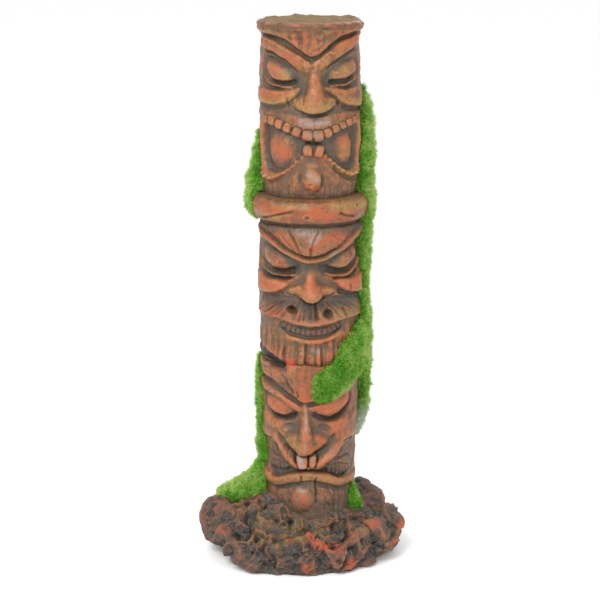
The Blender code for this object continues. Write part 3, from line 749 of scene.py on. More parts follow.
# Tints; slate and painted shade in the slot, mouth line and creases, slate darkening low on the foot, dark
# grey painted shade in the slot, mouth line, slits and brow cut; light pinkish-grey painted highlights on
# nose, chin and forehead, partly paint on the front teeth
LOWER_PAINT = """
# Tints
glow 4.2 1.1: -19 71.6, -13 70.2
glow 4.2 1.1: 5 69, 13 72, 18 75.5
glow 5.2 0.9: -2 86, -2 75
glow 2.6 0.8: -28 88.6, -12 88.6
glow 2.6 0.9: -16 56.6, -9 47.2, -2 43.8, 6 46.6, 15 54
glow 3 0.7: -20 62.5, -14 62.5
glow 4.6 0.8: 9 62, 18 58
glow 6 1: -5 30, -2 26
glow 2.2 0.9: 2 70.6, 6 72.4
glow 3.4 0.8: 4 58, 5 57
ochre 3.4 0.8: -9 57, -6 54
ochre 2.4 0.8: -5 39, 4 38.6, 10 36.8
ochre 2 0.5: -26 36.6, -16 35.4
soot 11 1.4: -34 24, 34 23
glow 5 1.4: -6 28, -2 29
soot 2.4 1.5: -24 91, -16 89, -11 88
glow 1.8 3.4: -9.2 89.8, -7.4 89.8
dark 1.8 1.6: -26 91.5, -17 90, -11 89.4
dark 1.8 0.8: -21 40.6, -13 42, -8 43
dark 1.6 0.7: 6 43, 12 41.4, 19 38.4
dark 1.5 0.6: -23 68.4, -14 66, -7 67.4
dark 1.5 0.6: 2.4 67.4, 10 65.4, 18 69.4
dark 1.2 0.6: -30 82.2, -14 78.2, -4 72.8
soot 4 0.7: -26 43, -12 44
soot 3.6 0.7: 9 43, 21 41
soot 3 0.8: -8 69, -5.6 67.6
soot 3 0.8: 1 69, 3.6 67.6
soot 3 0.8: 3.4 61, 5.4 63
soot 2.4 0.6: -12 63.4, -8 63
soot 2 0.7: -11 52.6, -8.4 48.8
soot 2.6 0.7: 5 51, 9.6 53
soot 2.6 0.9: -22 41, -12 42.6, 0 42.4, 9 42.6, 20 38.6
soot 2.4 0.7: -18 31.6, -9 34.6, -3 35.6
soot 2.6 0.7: 3 35.6, 10 33.6, 20 31
pale 2.2 2: -4.4 49.6, -3.6 44.4
pale 1.6 1: 1 49, 1 45
pale 1 0.7: -1.8 70.5, -1.4 62
pale 0.9 0.4: -1.6 56, -1.8 52
pale 1.5 0.9: -5.4 33.4, -1.6 33.4
pale 0.8 0.9: -11 86.6, -10.6 83
soot 7 0.7: 8 25, 26 24
soot 6 0.4: 14 48, 24 46
soot 4.5 0.4: -22 45, -12 44
soot 2.2 0.8: -20 34.4, -9 36.4, -3 37.2, 3 37, 10 35.6, 20 33
"""


def carve_lower(c):
    """The bottom head: heavy brows, a lip that runs up beside the nose and two big front teeth."""
    c.work(LOWER_BROWS)
    for s, z in ((-9.4, 79.6), (-7.2, 78.0), (-5.2, 76.6)):
        c.cut([(s - 0.7, z + 2.0), (s, z), (s + 0.2, z - 1.6)], 0.8, 0.8, 0.3)
    c.work(LOWER_FACE)
    for i in range(8):
        drop = 1.2 * math.sin(2.9 * i)
        c.cut([(12.4 + 1.9 * i, 52.5 + drop), (12.2 + 1.9 * i, 47.4 - drop)], 0.8,
              0.3 + 0.1 * math.sin(i), 0.35)
        c.cut([(-27.0 + 2.0 * i, 52.5 - drop), (-26.8 + 2.0 * i, 47.4 + drop)], 0.8,
              0.3 + 0.1 * math.cos(i), 0.35)
    c.plate(numbers("-23 42.2, -17 42, -11 43.2, -4 43.2, 5 43, 10 42.6, 15 40, 20 38.8, 19 37.6, 13 38.3, "
                    "8 41, 3 42, -3 42.1, -9 41, -13 38.8, -18 37.2, -22 38.4"), -2, 1)
    for i, s in enumerate((9.4, 11.7, 13.9, 16.1, 18.2, 20.2)):
        c.tooth(s, 42.4 - 0.35 * i, 1.05 + 0.15 * math.sin(3 * i), 2.8 - 0.35 * abs(i - 2.2), -1.0, 0.7,
                4 + 3 * math.sin(2 * i))
    for i, s in enumerate((-20.6, -18.5, -16.4, -14.3, -12.3)):
        c.tooth(s, 43.2 - 0.1 * i, 1.0 + 0.12 * math.sin(2 * i), 1.9 - 0.3 * abs(i - 2.0), -1.0, 0.6,
                -3 + 4 * math.sin(3 * i))
    c.work(LOWER_CHIN)
    for i in range(14):
        s = -27 + 4.2 * i + 0.8 * math.sin(4.3 * i)
        if abs(s + 3.5) > 7.0:
            c.cut([(s, 32), (s + 0.5, 27), (s, 21)], 0.8, 0.45, 0.3)
    c.work(LOWER_PAINT)


# ---------------------------------------------------------------- meshes


def mesh_object(name, points, faces, values, material):
    """An object from points in mm, faces as rows of corner numbers, and named values at the points."""
    mesh = bpy.data.meshes.new(name)
    sizes = [len(f) for f in faces if len(f)]
    counts = np.concatenate([np.full(len(f), f.shape[1]) for f in faces if len(f)])
    corners_flat = np.concatenate([f.reshape(-1) for f in faces if len(f)])
    mesh.vertices.add(len(points))
    mesh.vertices.foreach_set("co", (points * MM).astype(np.float32).reshape(-1))
    mesh.loops.add(len(corners_flat))
    mesh.loops.foreach_set("vertex_index", corners_flat.astype(np.int32))
    mesh.polygons.add(sum(sizes))
    mesh.polygons.foreach_set("loop_start", np.concatenate([[0], np.cumsum(counts)[:-1]]).astype(np.int32))
    mesh.polygons.foreach_set("use_smooth", np.full(sum(sizes), True))
    mesh.update(calc_edges=True)
    for key, value in values.items():
        attribute = mesh.attributes.new(key, "FLOAT", "POINT")
        attribute.data.foreach_set("value", value.astype(np.float32).reshape(-1))
    mesh.materials.append(material)
    mesh.validate()
    made = bpy.data.objects.new(name, mesh)
    bpy.context.scene.collection.objects.link(made)
    return made


def tube_faces(rows, columns):
    """Quads over a grid whose columns close into a ring, facing outwards when the rows rise."""
    i, j = np.meshgrid(np.arange(rows - 1), np.arange(columns), indexing="ij")
    k = (j + 1) % columns
    return np.stack([i * columns + j, i * columns + k, (i + 1) * columns + k, (i + 1) * columns + j],
                    axis=-1).reshape(-1, 4)


def fan_faces(ring, centre, flip):
    """Triangles from a ring of corners to a centre."""
    nxt = np.roll(ring, -1)
    first, second = (nxt, ring) if flip else (ring, nxt)
    return np.stack([first, second, np.full(len(ring), centre)], axis=1)


def head(name, carving, material, top_rings):
    """A casting from its carving, closed below by a flat face and above by rings and their cavity values."""
    side = carving.surface()
    columns = side.shape[1]
    stack = np.concatenate([side] + [ring[None] for ring, _ in top_rings], axis=0)
    points = np.concatenate([stack.reshape(-1, 3), [side[0].mean(axis=0)], [stack[-1].mean(axis=0)]])
    around, inner = np.arange(columns), columns * len(top_rings)
    faces = [tube_faces(len(stack), columns),
             np.concatenate([fan_faces(around, len(points) - 2, True),
                             fan_faces((len(stack) - 1) * columns + around, len(points) - 1, False)])]
    ends = {key: np.zeros(inner) for key in carving.tints}
    ends["cavity"] = np.concatenate([cavity for _, cavity in top_rings])
    values = {key: np.concatenate([tint.reshape(-1), ends[key], [0.0, 0.0]])
              for key, tint in carving.tints.items()}
    values["top"] = np.concatenate([np.zeros(carving.h.size), np.ones(inner), [0.0, 1.0]])
    return mesh_object(name, points, faces, values, material)


def flat_top(carving):
    """Two rings inside the top edge, which the next casting hides."""
    last = carving.surface()[-1]
    centre = last.mean(axis=0)
    return [(mix(centre, last, share), np.ones(len(last))) for share in (0.97, 0.5)]


def sawn_top(carving):
    """The rough sawn end of the pole: rings of points in to the centre, chipped and split."""
    last = carving.surface()[-1]
    count = 52
    stack = np.stack([last * (1.0 - k / count, 1.0 - k / count, 1.0) for k in range(1, count)])
    flat = stack * (1.0, 1.0, 0.0)
    reach = np.linalg.norm(flat, axis=-1)
    angle = np.arctan2(flat[..., 1], flat[..., 0])
    rim = smooth((20.6 - reach) / 3.0)
    lumps = 0.7 * layered(flat / 9.0, 2, 61) + 0.10 * noise(flat / 1.8, 62)
    growth = 0.04 * np.sin(reach * 2.3 + 3.0 * noise(flat / 9.0, 63))
    along = np.stack([np.cos(angle) * 2.0, np.sin(angle) * 2.0, reach * 0.07], axis=-1)
    split = smooth(1.0 - np.abs(noise(along, 64)) / 0.04)
    split *= smooth((reach - 4.0) / 5.0) * smooth((20.0 - reach) / 3.0)
    relief = (lumps + growth - 0.7 - 0.5 * split) * rim
    stack[..., 2] = mix(stack[..., 2], carving.rows[-1], rim) + relief
    cavity = 0.8 * (blur(relief, 5) - relief)
    return [(stack[k], cavity[k]) for k in range(len(stack))]


# ---------------------------------------------------------------- lava rock

ROCK_OUTLINE = numbers("""
0 41, 30 39, 60 34.5, 90 32.5, 120 36, 150 42.5, 180 47.4, 205 45.5, 230 42, 255 37, 280 35, 305 36.5,
330 39.5, 360 41""")
ROCK_TOP = numbers("""
0 21.5, 22 20.5, 42 24.5, 65 26, 100 22.5, 140 22, 180 24, 205 22, 235 17, 270 15.8, 315 18, 340 21,
360 21.5""")
ROCK_FOOT = numbers("""
0 0.78, 45 0.84, 90 0.86, 140 0.8, 180 0.68, 205 0.78, 228 0.9, 250 0.96, 270 0.97, 300 0.94, 330 0.84,
360 0.78""")
ROCK_COLLAR = numbers("""
0 21.5, 45 22.5, 90 24, 135 25.5, 180 27, 205 29, 230 27, 250 23, 265 20.4, 285 20.8, 305 23, 330 22,
360 21.5""")
ROCK_SECTION = numbers("0.55 0.14, 0.85 0.3, 1 0.46, 1 0.62, 0.8 0.8, 0.55 0.93, 0.3 1")
ROCK_INNER_R = 19.0

# Big lumps and notches: x, y, z, reach and how far out
ROCK_LUMPS = numbers("""
-43 -2 17 13 1.6, -40 -17 3 8 -4, -30 -27 6 10 2.6, -36 -22 13 6 1.6, -20 -30 4 5 -1.6, -12 -32 5 7 1.4,
-3 -31 8 6 1.2, -26 -17 19 7 -2.2, 5 -33 7 5 -2, 11 -31 5 6 1.2, 22 -29 8 7 1, 29 -20 17 7 2.2,
33 -14 15 5 -3, 40 -6 14 8 1.6, 24 15 23 12 3.2, 34 8 20 6 -3, -14 -24 17 8 -1.4, 12 -25 15 7 -1.6,
-30 22 14 8 -2, 0 30 12 9 1.6, 18 26 10 6 -2, -16 27 16 8 1.6, -40 12 12 9 1.4, -29 -13 23 8 3.4,
-37 -10 22 7 2.4, -22 -17 23 7 2.2, 39 -4 20 8 2, 30 4 21 6 -2.4, -36 -9 24 6 2""")
ROCK_RIDGES = [numbers(line) for line in (
    "-33 -19 15, -26 -25 14, -18 -28.5 13.5, -10 -31 13.5, -4 -31 14.5, 1 -30 16, 3.5 -31.5 13, "
    "9 -32 12, 15 -29.5 13.5, 23 -25 16, 28 -20 18.5",
    "41 -1 17, 40 -8 13, 36 -15 8",
    "-45 4 20, -46 -6 15, -41 -14 12",
    "-30 -10 22, -36 -12 20, -40 -8 20")]
# Bright orange daubs and patches of yellow-green dust: x, y, z, reach and strength
EMBERS = numbers("""
1 -31 16 3.6 1.1, 3.5 -32 12.5 2.6 1, 8 -33 12 3.4 1.2, 12.5 -31.5 12.5 3 1, -1.5 -35 3.5 2.6 1,
1.5 -34 5.6 2.2 0.9, 8.4 -34 3.5 2.4 0.9, 18 -31 4 3.6 1, 41 -3 16 3.4 0.8, 39 -9 12 3.6 0.9,
36 -15 7.5 3.2 0.7, 27 -21 17.5 4 0.5, -47 -4 14 4 0.25, -35 -22 13 4 0.25, -24 -9 27 4.4 0.6,
-39 -8 21 4 0.2, -27 -26 2.5 3.4 0.4, 27 4 26 4 0.2, -10 31 14 4 0.8, 14 29 13 3.6 0.8, -34 18 18 4.4 0.8,
34 14 16 4 0.9, 2 33 5 3.4 0.8""")
DUST = numbers("""
-20 -29 13.5 5 0.9, -12 -31 13.5 5 1.1, -4 -31 14.5 4 1, -8 -24 17.5 8 0.7, -22 -19 20 8 0.5,
2 -24 17 7 0.5, 27 -19 19 4 0.5, -18 24 19 7 0.6""")


def rock_skin(columns, rows):
    """Smooth skin of the rock before its lumps: a grid of points, rows rising from the foot to the pole."""
    bearing = 2 * math.pi * np.arange(columns) / columns
    degrees = np.degrees(bearing)
    wide, top = table(ROCK_OUTLINE, degrees), table(ROCK_TOP, degrees)
    foot, collar = table(ROCK_FOOT, degrees), table(ROCK_COLLAR, degrees)
    grid = np.zeros((rows, columns, 3))
    for j in range(columns):
        r_foot, r_wide = foot[j] * wide[j], wide[j]
        line = [(r_foot * 0.96, 0.0), (r_foot, 0.0)]
        for k, (share, rise) in enumerate(ROCK_SECTION):
            r = mix(r_foot, r_wide, share) if k < 4 else r_wide * (1.0, 0.955, 0.875, 0.78)[k - 3]
            line.append((r, rise * top[j]))
        line += [(mix(0.78 * r_wide, ROCK_INNER_R, 0.45), 0.98 * top[j]),
                 (ROCK_INNER_R + 3.2, mix(top[j], collar[j], 0.5)), (ROCK_INNER_R + 1.4, collar[j]),
                 (ROCK_INNER_R - 1.5, collar[j] + 0.6)]
        line = rounded(line, times=3)
        length = np.concatenate([[0.0], np.cumsum(np.linalg.norm(np.diff(line, axis=0), axis=1))])
        at = np.linspace(0.0, length[-1], rows)
        r, z = np.interp(at, length, line[:, 0]), np.interp(at, length, line[:, 1])
        grid[:, j] = np.stack([r * math.cos(bearing[j]), r * math.sin(bearing[j]), z], axis=-1)
    return grid


def grid_normals(grid):
    """Outward normals of a grid whose columns close into a ring."""
    around = np.roll(grid, -1, axis=1) - np.roll(grid, 1, axis=1)
    up = np.gradient(grid, axis=0)
    normal = np.cross(around, up)
    return normal / np.maximum(1e-9, np.linalg.norm(normal, axis=-1, keepdims=True))


def bumps(place, rows):
    """The sum of soft round bumps, each a row of x, y, z, reach and height."""
    total = np.zeros(place.shape[:-1])
    for x, y, z, reach, height in rows:
        total += height * smooth(1.0 - np.linalg.norm(place - (x, y, z), axis=-1) / reach)
    return total


def line_in_space(place, points):
    """Distance from each place to a line through points."""
    best = np.full(place.shape[:-1], 1e9)
    for a, b in zip(np.array(points[:-1], float), np.array(points[1:], float)):
        t = np.clip(((place - a) @ (b - a)) / ((b - a) @ (b - a)), 0.0, 1.0)
        best = np.minimum(best, np.linalg.norm(place - a - t[..., None] * (b - a), axis=-1))
    return best


def lava(place, seed):
    """Relief of lava rock in mm, and how strongly each place is one of its painted rims."""
    drift = np.stack([noise(place / 11.0, seed + k) for k in (1, 2, 3)], axis=-1) * 5.0
    drift += np.stack([noise(place / 4.0, seed + k) for k in (4, 5, 6)], axis=-1) * 1.6
    bent = place + drift
    first, second = cells(bent, 14.0, seed)
    relief = 2.6 * (0.5 - np.clip(first / 0.8, 0, 1.2) ** 2) - 1.0 * smooth(1.0 - (second - first) / 0.18)
    relief += 1.8 * layered(place / 15.0, 2, seed + 9)
    vein = np.abs(noise(bent / 9.0, seed + 16))
    ridge = np.clip(1.0 - vein / 0.42, 0.0, 1.0)
    small = np.clip(1.0 - np.abs(noise(bent / 4.2, seed + 18)) / 0.4, 0.0, 1.0)
    relief += 2.2 * ridge ** 1.3 - 1.1 + (0.9 * small ** 1.3 - 0.4) * (0.4 + 0.6 * ridge)
    near, _ = cells(bent, 5.6, seed + 30)
    relief -= 1.5 * smooth((0.42 - near) / 0.25) * smooth((noise(place / 8.0, seed + 31) + 0.12) / 0.3)
    relief -= 1.4 * smooth((noise(bent / 4.6, seed + 14) - 0.22) / 0.25)
    rim = smooth(1.0 - vein / 0.12) * smooth((noise(place / 9.0, seed + 17) + 0.05) / 0.2)
    relief += 0.42 * layered(place / 1.9, 3, seed + 12, 0.62)
    relief -= 0.6 * smooth((noise(place / 1.2, seed + 20) - 0.22) / 0.3)
    return relief, rim


def make_rock(material):
    rows, columns = 160, 600
    skin = rock_skin(columns, rows)
    relief, rim = lava(skin, 40)
    relief *= 1.0 - 0.6 * bumps(skin, [(27, 15, 24, 13, 1.0)])
    relief += bumps(skin, ROCK_LUMPS)
    wavy = skin + np.stack([noise(skin / 5.0, 70 + k) for k in range(3)], axis=-1) * 2.4
    for line in ROCK_RIDGES:
        ridge = smooth(1.0 - line_in_space(wavy, line) / 3.2)
        relief += 2.4 * ridge
        rim = np.maximum(rim, ridge)
    relief = np.where(relief > 0, 2.6 * np.tanh(relief / 2.6), relief)
    foot = smooth(skin[..., 2] / 3.0)
    inner = smooth((np.hypot(skin[..., 0], skin[..., 1]) - ROCK_INNER_R - 0.5) / 3.5)
    normal = grid_normals(skin)
    points = skin + normal * (relief * mix(0.35, 1.0, foot) * mix(0.3, 1.0, inner))[..., None]
    points[..., 2] = np.maximum(points[..., 2], 0.0)
    points[0, :, 2] = 0.0
    fine, broad, wide = blur(relief, 2), blur(relief, 7), blur(relief, 20)
    values = {"cavity": 0.7 * (fine - relief) + 0.6 * (broad - relief), "hollow": wide - relief,
              "upward": grid_normals(points)[..., 2], "rim": rim,
              "ember": bumps(wavy, [(*row[:3], 1.25 * row[3], row[4]) for row in EMBERS]),
              "dust": bumps(wavy, DUST)}
    flat = points.reshape(-1, 3)
    centre = len(flat)
    ends = np.array([points[0].mean(axis=0), points[-1].mean(axis=0)])
    faces = [tube_faces(rows, columns),
             np.concatenate([fan_faces(np.arange(columns), centre, True),
                             fan_faces((rows - 1) * columns + np.arange(columns), centre + 1, False)])]
    values = {key: np.concatenate([value.reshape(-1), [0, 0]]) for key, value in values.items()}
    return mesh_object("rock_skin", np.concatenate([flat, ends]), faces, values, material)


# ---------------------------------------------------------------- moss

FIBRE_LENGTH, FIBRE_DROOP = 2.1, 0.1


class PoleSkin:
    """How far out the carved pole reaches at a bearing and a height."""

    def __init__(self, carvings):
        self.tiers = [(c, blur(c.radius + c.h, 4)) for c in carvings]

    def __call__(self, s, z):
        angle = s / POLE_R
        out = np.zeros(np.broadcast(s, z).shape)
        for c, radius in self.tiers:
            turned = np.mod(angle - c.angle[0], 2 * math.pi) + c.angle[0]
            j = np.clip(np.searchsorted(c.angle, turned), 0, len(c.angle) - 1)
            i = np.clip(np.round((z - c.rows[0]) / (c.rows[1] - c.rows[0])).astype(int), 0, len(c.rows) - 1)
            here = (z >= c.rows[0] - 0.5) & (z <= c.rows[-1] + 0.5)
            out = np.where(here, np.maximum(out, radius[i, j]), out)
        return out


def fibres(points, faces, seed, per_mm2):
    """Flock fibres that stand out of a skin, as thin closed spikes: their points, faces, tips and tones."""
    rng = np.random.RandomState(seed)
    a, b, c = points[faces[:, 0]], points[faces[:, 1]], points[faces[:, 2]]
    cross = np.cross(b - a, c - a)
    area = np.linalg.norm(cross, axis=1) / 2
    normal = cross / np.maximum(1e-9, 2 * area[:, None])
    count = int(area.sum() * per_mm2)
    pick = rng.choice(len(faces), count, p=area / area.sum())
    u, v = rng.random_sample(count), rng.random_sample(count)
    flip = u + v > 1
    u[flip], v[flip] = 1 - u[flip], 1 - v[flip]
    root = a[pick] + (b - a)[pick] * u[:, None] + (c - a)[pick] * v[:, None]
    tuft = np.stack([noise(root / 2.2, seed + k) for k in (1, 2, 3)], axis=-1) * 1.3
    lean = rng.normal(size=(count, 3)) * 0.5 + tuft + (0.0, 0.0, -FIBRE_DROOP)
    direction = normal[pick] + lean
    direction /= np.linalg.norm(direction, axis=1, keepdims=True)
    reach = FIBRE_LENGTH * (0.45 + 0.85 * rng.random_sample(count) ** 1.5)
    reach *= 1.0 + 0.7 * noise(root / 3.0, seed + 4)
    side = np.cross(direction, rng.normal(size=(count, 3)))
    side /= np.linalg.norm(side, axis=1, keepdims=True)
    other = np.cross(direction, side)
    width = 0.12 + 0.08 * rng.random_sample(count)
    base = root - direction * 0.35
    ring = [base + (side * math.cos(t) + other * math.sin(t)) * width[:, None] for t in (0.0, 2.0944, 4.1888)]
    tip = root + direction * reach[:, None]
    out = np.stack(ring + [tip], axis=1).reshape(-1, 3)
    first = 4 * np.arange(count)[:, None]
    tris = np.concatenate([first + np.array([face]) for face in ((0, 1, 3), (1, 2, 3), (2, 0, 3), (0, 2, 1))])
    tips = np.tile([0.0, 0.0, 0.0, 1.0], count)
    tone = np.repeat(0.5 + 0.55 * noise(root / 6.0, seed + 5) + 0.35 * noise(root / 1.8, seed + 6)
                     + 0.24 * rng.normal(size=count), 4)
    return out, tris, tips, tone


def slab(outer, inner):
    """A closed pad between two grids of the same size."""
    rows, columns = outer.shape[:2]
    i, j = np.meshgrid(np.arange(rows - 1), np.arange(columns - 1), indexing="ij")
    quad = np.stack([i * columns + j, i * columns + j + 1, (i + 1) * columns + j + 1, (i + 1) * columns + j],
                    axis=-1).reshape(-1, 4)
    back = rows * columns
    low, high = np.arange(columns - 1), (rows - 1) * columns + np.arange(columns - 1)
    left, right = np.arange(rows - 1) * columns, np.arange(rows - 1) * columns + columns - 1
    edges = [np.stack([low + 1, low, low + back, low + 1 + back], axis=1),
             np.stack([high, high + 1, high + 1 + back, high + back], axis=1),
             np.stack([left, left + columns, left + columns + back, left + back], axis=1),
             np.stack([right + columns, right, right + back, right + columns + back], axis=1)]
    points = np.concatenate([outer.reshape(-1, 3), inner.reshape(-1, 3)])
    return points, np.concatenate([quad, quad[:, ::-1] + back] + edges), quad


def moss_piece(name, outer, inner, material, seed, per_mm2, crest=None):
    """A moss patch: a lumpy pad with its fibres, as one piece. Its colour carries painted light towards the
    pole's sides and, if it has a crest, painted shade below it.
    """
    points, quads, top = slab(outer, inner)
    tris = np.concatenate([top[:, [0, 1, 2]], top[:, [0, 2, 3]]])
    spikes, spike_faces, tips, tone = fibres(points, tris, seed, per_mm2)
    pad_tone = 0.5 + 0.5 * noise(points / 5.5, seed + 5)
    everything = np.concatenate([points, spikes])
    height = everything[:, 2]
    # Painted light: the moss is painted lighter towards the pole's left and right sides, and with a crest
    # this fades below it, a painted shade on the lower slope
    painted_side_light = smooth((np.abs(everything[:, 0]) - 21.5) / 6.0)
    if crest is not None:
        painted_side_light *= smooth((height - table(crest, everything[:, 0]) + 6.0) / 5.0)
    values = {"tip": np.concatenate([np.zeros(len(points)), tips]),
              "tone": np.concatenate([pad_tone, tone]) + 0.5 * painted_side_light - 0.12,
              "dust": smooth((70.0 - height) / 12.0) * (height > 48.0) * (everything[:, 0] > 0)}
    return mesh_object(name, everything, [quads, spike_faces + len(points)], values, material)


def moss_strip(name, rows, skin, material, seed, per_mm2, ragged):
    """A patch that hugs the pole: rows of height, first and last s, and the radius it stands out to."""
    rows = sorted(rows)
    z = np.linspace(rows[0][0], rows[-1][0], round((rows[-1][0] - rows[0][0]) / 0.6) + 1)
    first, last, out = (table([(r[0], r[i]) for r in rows], z)[:, None] for i in (1, 2, 3))
    wobble = np.stack([z * 0, z * 0, z], axis=-1)
    first = first + ragged * (noise(wobble / 3.4, seed + 8) + 0.6 * noise(wobble / 1.3, seed + 9))[:, None]
    last = last + ragged * (noise(wobble / 3.4, seed + 10) + 0.6 * noise(wobble / 1.3, seed + 11))[:, None]
    steps = max(8, round(float((last - first).max()) / 0.6))
    share = np.linspace(0.0, 1.0, steps + 1)[None, :]
    s = first + (last - first) * share
    height = z[:, None] + 0 * s
    base = skin(s, height)
    crown = np.sqrt(np.clip(np.sin(math.pi * share), 0, 1))
    ends = np.sqrt(np.clip(np.sin(math.pi * np.clip((z - z[0]) / (z[-1] - z[0]), 0, 1)), 0, 1))[:, None]
    ends = np.clip(ends * 2.2, 0, 1)
    angle = s / POLE_R
    place = np.stack([POLE_R * np.sin(angle), -POLE_R * np.cos(angle), height], axis=-1)
    lumps = 1.1 * noise(place / 4.5, seed + 12) + 0.7 * noise(place / 1.9, seed + 13)
    thick = np.clip((np.maximum(0.0, out - base - 1.3) + lumps) * crown * ends, 0.0, None) + 0.3
    r_out, r_in = base + thick, base - 0.6

    def surface(r):
        return np.stack([r * np.sin(angle), -r * np.cos(angle), height], axis=-1)

    return moss_piece(name, surface(r_out), surface(r_in), material, seed, per_mm2)


MOSS_RIGHT = numbers("""
206 31 36 23.2, 203 30 39 25, 198 29.5 42 26.2, 190 29 43 27.4, 175 29 44 27.9, 165 29 44 27.8,
160 29.5 44 28.5, 152 29.5 44 28, 146 28 44 27, 134 28 44 26.3, 120 28 43 25.4, 113 28 43 25.8,
106 28 43 26.9, 92 28 43 27.2, 86 29 43 27, 80 32 43 26.8, 74 33 43 26.8, 66 32 42 26.6, 60 31.5 41 25.6,
55 32 39 24, 52 33 37 22""")
MOSS_DRAPE = numbers("""
106 24 29.5 23.4, 103 21 29.5 24.8, 99 14.5 29.5 25.8, 95 12.5 29.5 26.3, 91 10 29.5 26.4, 88 6 29.5 26.2,
85 2 27 25.8, 80 0.5 18.5 25, 76 2 12 24.2, 73.5 4.5 8 23""")
MOSS_LEFT_UPPER = numbers("""
187 -38 -32 21.9, 183 -40 -31 22.9, 179 -42 -30.5 24.3, 172 -43 -30 25.8, 165 -44 -29.5 27.8,
157 -44 -29.5 28.4, 153 -43 -30 27.6, 150 -41 -31 26.4""")
MOSS_LEFT_LOWER = numbers("""
89 -38 -30.5 22.2, 84 -41 -28.5 23.3, 70 -42 -28 23.6, 58 -42 -28 23.5, 50 -42 -27.5 23.4, 43 -41 -26 24.2""")
MOSS_FOOT = numbers("32.6 23 24.8 21.8, 30 22.2 26.4 22.8, 26 21.6 27.6 23.6, 21 21.6 28.2 24.2")
MOSS_MOUND = numbers("""
-41.6 0 5 24.8, -39 -1.5 7 27.8, -35 -3 9 29.8, -31.5 -4 11 31.8, -28 -4.5 13 34, -25.5 -5 13 36.4,
-22.5 -6 12 41, -20.6 -6 10 45, -19 -6 9 48""")


def moss_mound(name, rows, material, seed, per_mm2):
    """The mound on the rock, left of the foot: rows of X, first and last Y, and the crest."""
    x = np.linspace(rows[0][0], rows[-1][0], 46)[:, None]
    first, last, crest = (table([(r[0], r[i]) for r in rows], x) for i in (1, 2, 3))
    share = np.linspace(1.0, 0.0, 44)[None, :]
    edge = np.concatenate([x, x * 0, x * 0], axis=1)
    first = first + 1.2 * noise(edge / 3.0, seed + 8)[:, None]
    y = first + (last - first) * share
    floor = 23.0 + 2.6 * smooth((x + 36.0) / 14.0) + 0.0 * y
    rise = np.sqrt(np.clip(np.sin(math.pi * share), 0, 1)) ** 1.3
    place = np.stack([x + 0 * y, y, 0 * y], axis=-1)
    lumps = 1.1 * noise(place / 4.0, seed + 12) + 0.7 * noise(place / 1.8, seed + 13)
    top = floor + (np.maximum(0.0, crest - 1.8 - floor) + lumps) * rise + 0.4
    outer = np.stack([x + 0 * y, y, top], axis=-1)
    inner = np.stack([x + 0 * y, y, 20.5 + 0 * y], axis=-1)
    return moss_piece(name, outer, inner, material, seed, per_mm2, crest=[(r[0], r[3]) for r in rows])


# ---------------------------------------------------------------- materials


LIGHT = 1.62    # what the studio lights multiply a colour by
GLOSS = 0.032   # and what their reflection adds


def linear(*rgb):
    """A colour given as 0 to 255 screen values."""
    return [c / 255 / 12.92 if c / 255 <= 0.04045 else ((c / 255 + 0.055) / 1.055) ** 2.4 for c in rgb]


def seen(*rgb, light=LIGHT, gloss=GLOSS):
    """The paint that looks like these screen values once it is lit."""
    return (*[max(0.004, (c - gloss) / light) for c in linear(*rgb)], 1.0)


class Shade:
    """Short calls for building a material's nodes."""

    def __init__(self, name):
        self.material = bpy.data.materials.new(name)
        self.material.use_nodes = True
        self.tree = self.material.node_tree
        self.shader = self.tree.nodes["Principled BSDF"]
        self.coords = self.tree.nodes.new("ShaderNodeTexCoord").outputs["Object"]

    def link(self, value, socket):
        if isinstance(value, bpy.types.NodeSocket):
            self.tree.links.new(value, socket)
        else:
            socket.default_value = value

    def node(self, kind, inputs, output, **settings):
        """Make a node, set it up, link or set its inputs, and give one of its outputs."""
        made = self.tree.nodes.new("ShaderNode" + kind)
        for key, value in settings.items():
            setattr(made, key, value)
        for key, value in inputs.items():
            self.link(value, made.inputs[key])
        return made.outputs[output]

    def attribute(self, name):
        return self.node("Attribute", {}, "Fac", attribute_name=name)

    def stretched(self, scale):
        return self.node("Mapping", {"Vector": self.coords, "Scale": scale}, "Vector")

    def noise(self, scale, detail=4.0, roughness=0.6, distortion=0.0, vector=None):
        return self.node("TexNoise", {"Vector": vector or self.coords, "Scale": scale, "Detail": detail,
                                      "Roughness": roughness, "Distortion": distortion}, "Fac")

    def math(self, operation, a, b, clamp=False):
        return self.node("Math", {0: a, 1: b}, 0, operation=operation, use_clamp=clamp)

    def total(self, first, *rest):
        """A value plus textures about their middle, each with a weight."""
        for texture, weight in rest:
            swing = self.math("SUBTRACT", texture, 0.5)
            first = self.math("ADD", first, self.math("MULTIPLY", swing, weight))
        return first

    def spread(self, value, low, high, to_low=0.0, to_high=1.0):
        """Ease a value from one range to another and hold it at the ends."""
        return self.node("MapRange", {"Value": value, "From Min": low, "From Max": high, "To Min": to_low,
                                      "To Max": to_high}, "Result", interpolation_type="SMOOTHSTEP")

    def blend(self, factor, a, b):
        return self.node("Mix", {0: factor, 6: a, 7: b}, 2, data_type="RGBA")

    def mask(self, name, texture, low, high, least):
        """A painted tint broken up by a texture."""
        return self.math("MULTIPLY", self.attribute(name), self.spread(texture, low, high, least), True)

    def coat(self, colour, mask, share, paint):
        return self.blend(self.math("MULTIPLY", mask, share), colour, paint)

    def bump(self, height, distance, strength, after=None):
        inputs = {"Height": height, "Distance": distance, "Strength": strength}
        if after is not None:
            inputs["Normal"] = after
        return self.node("Bump", inputs, "Normal")

    def set(self, **values):
        for key, value in values.items():
            self.link(value, self.shader.inputs[key.replace("_", " ")])


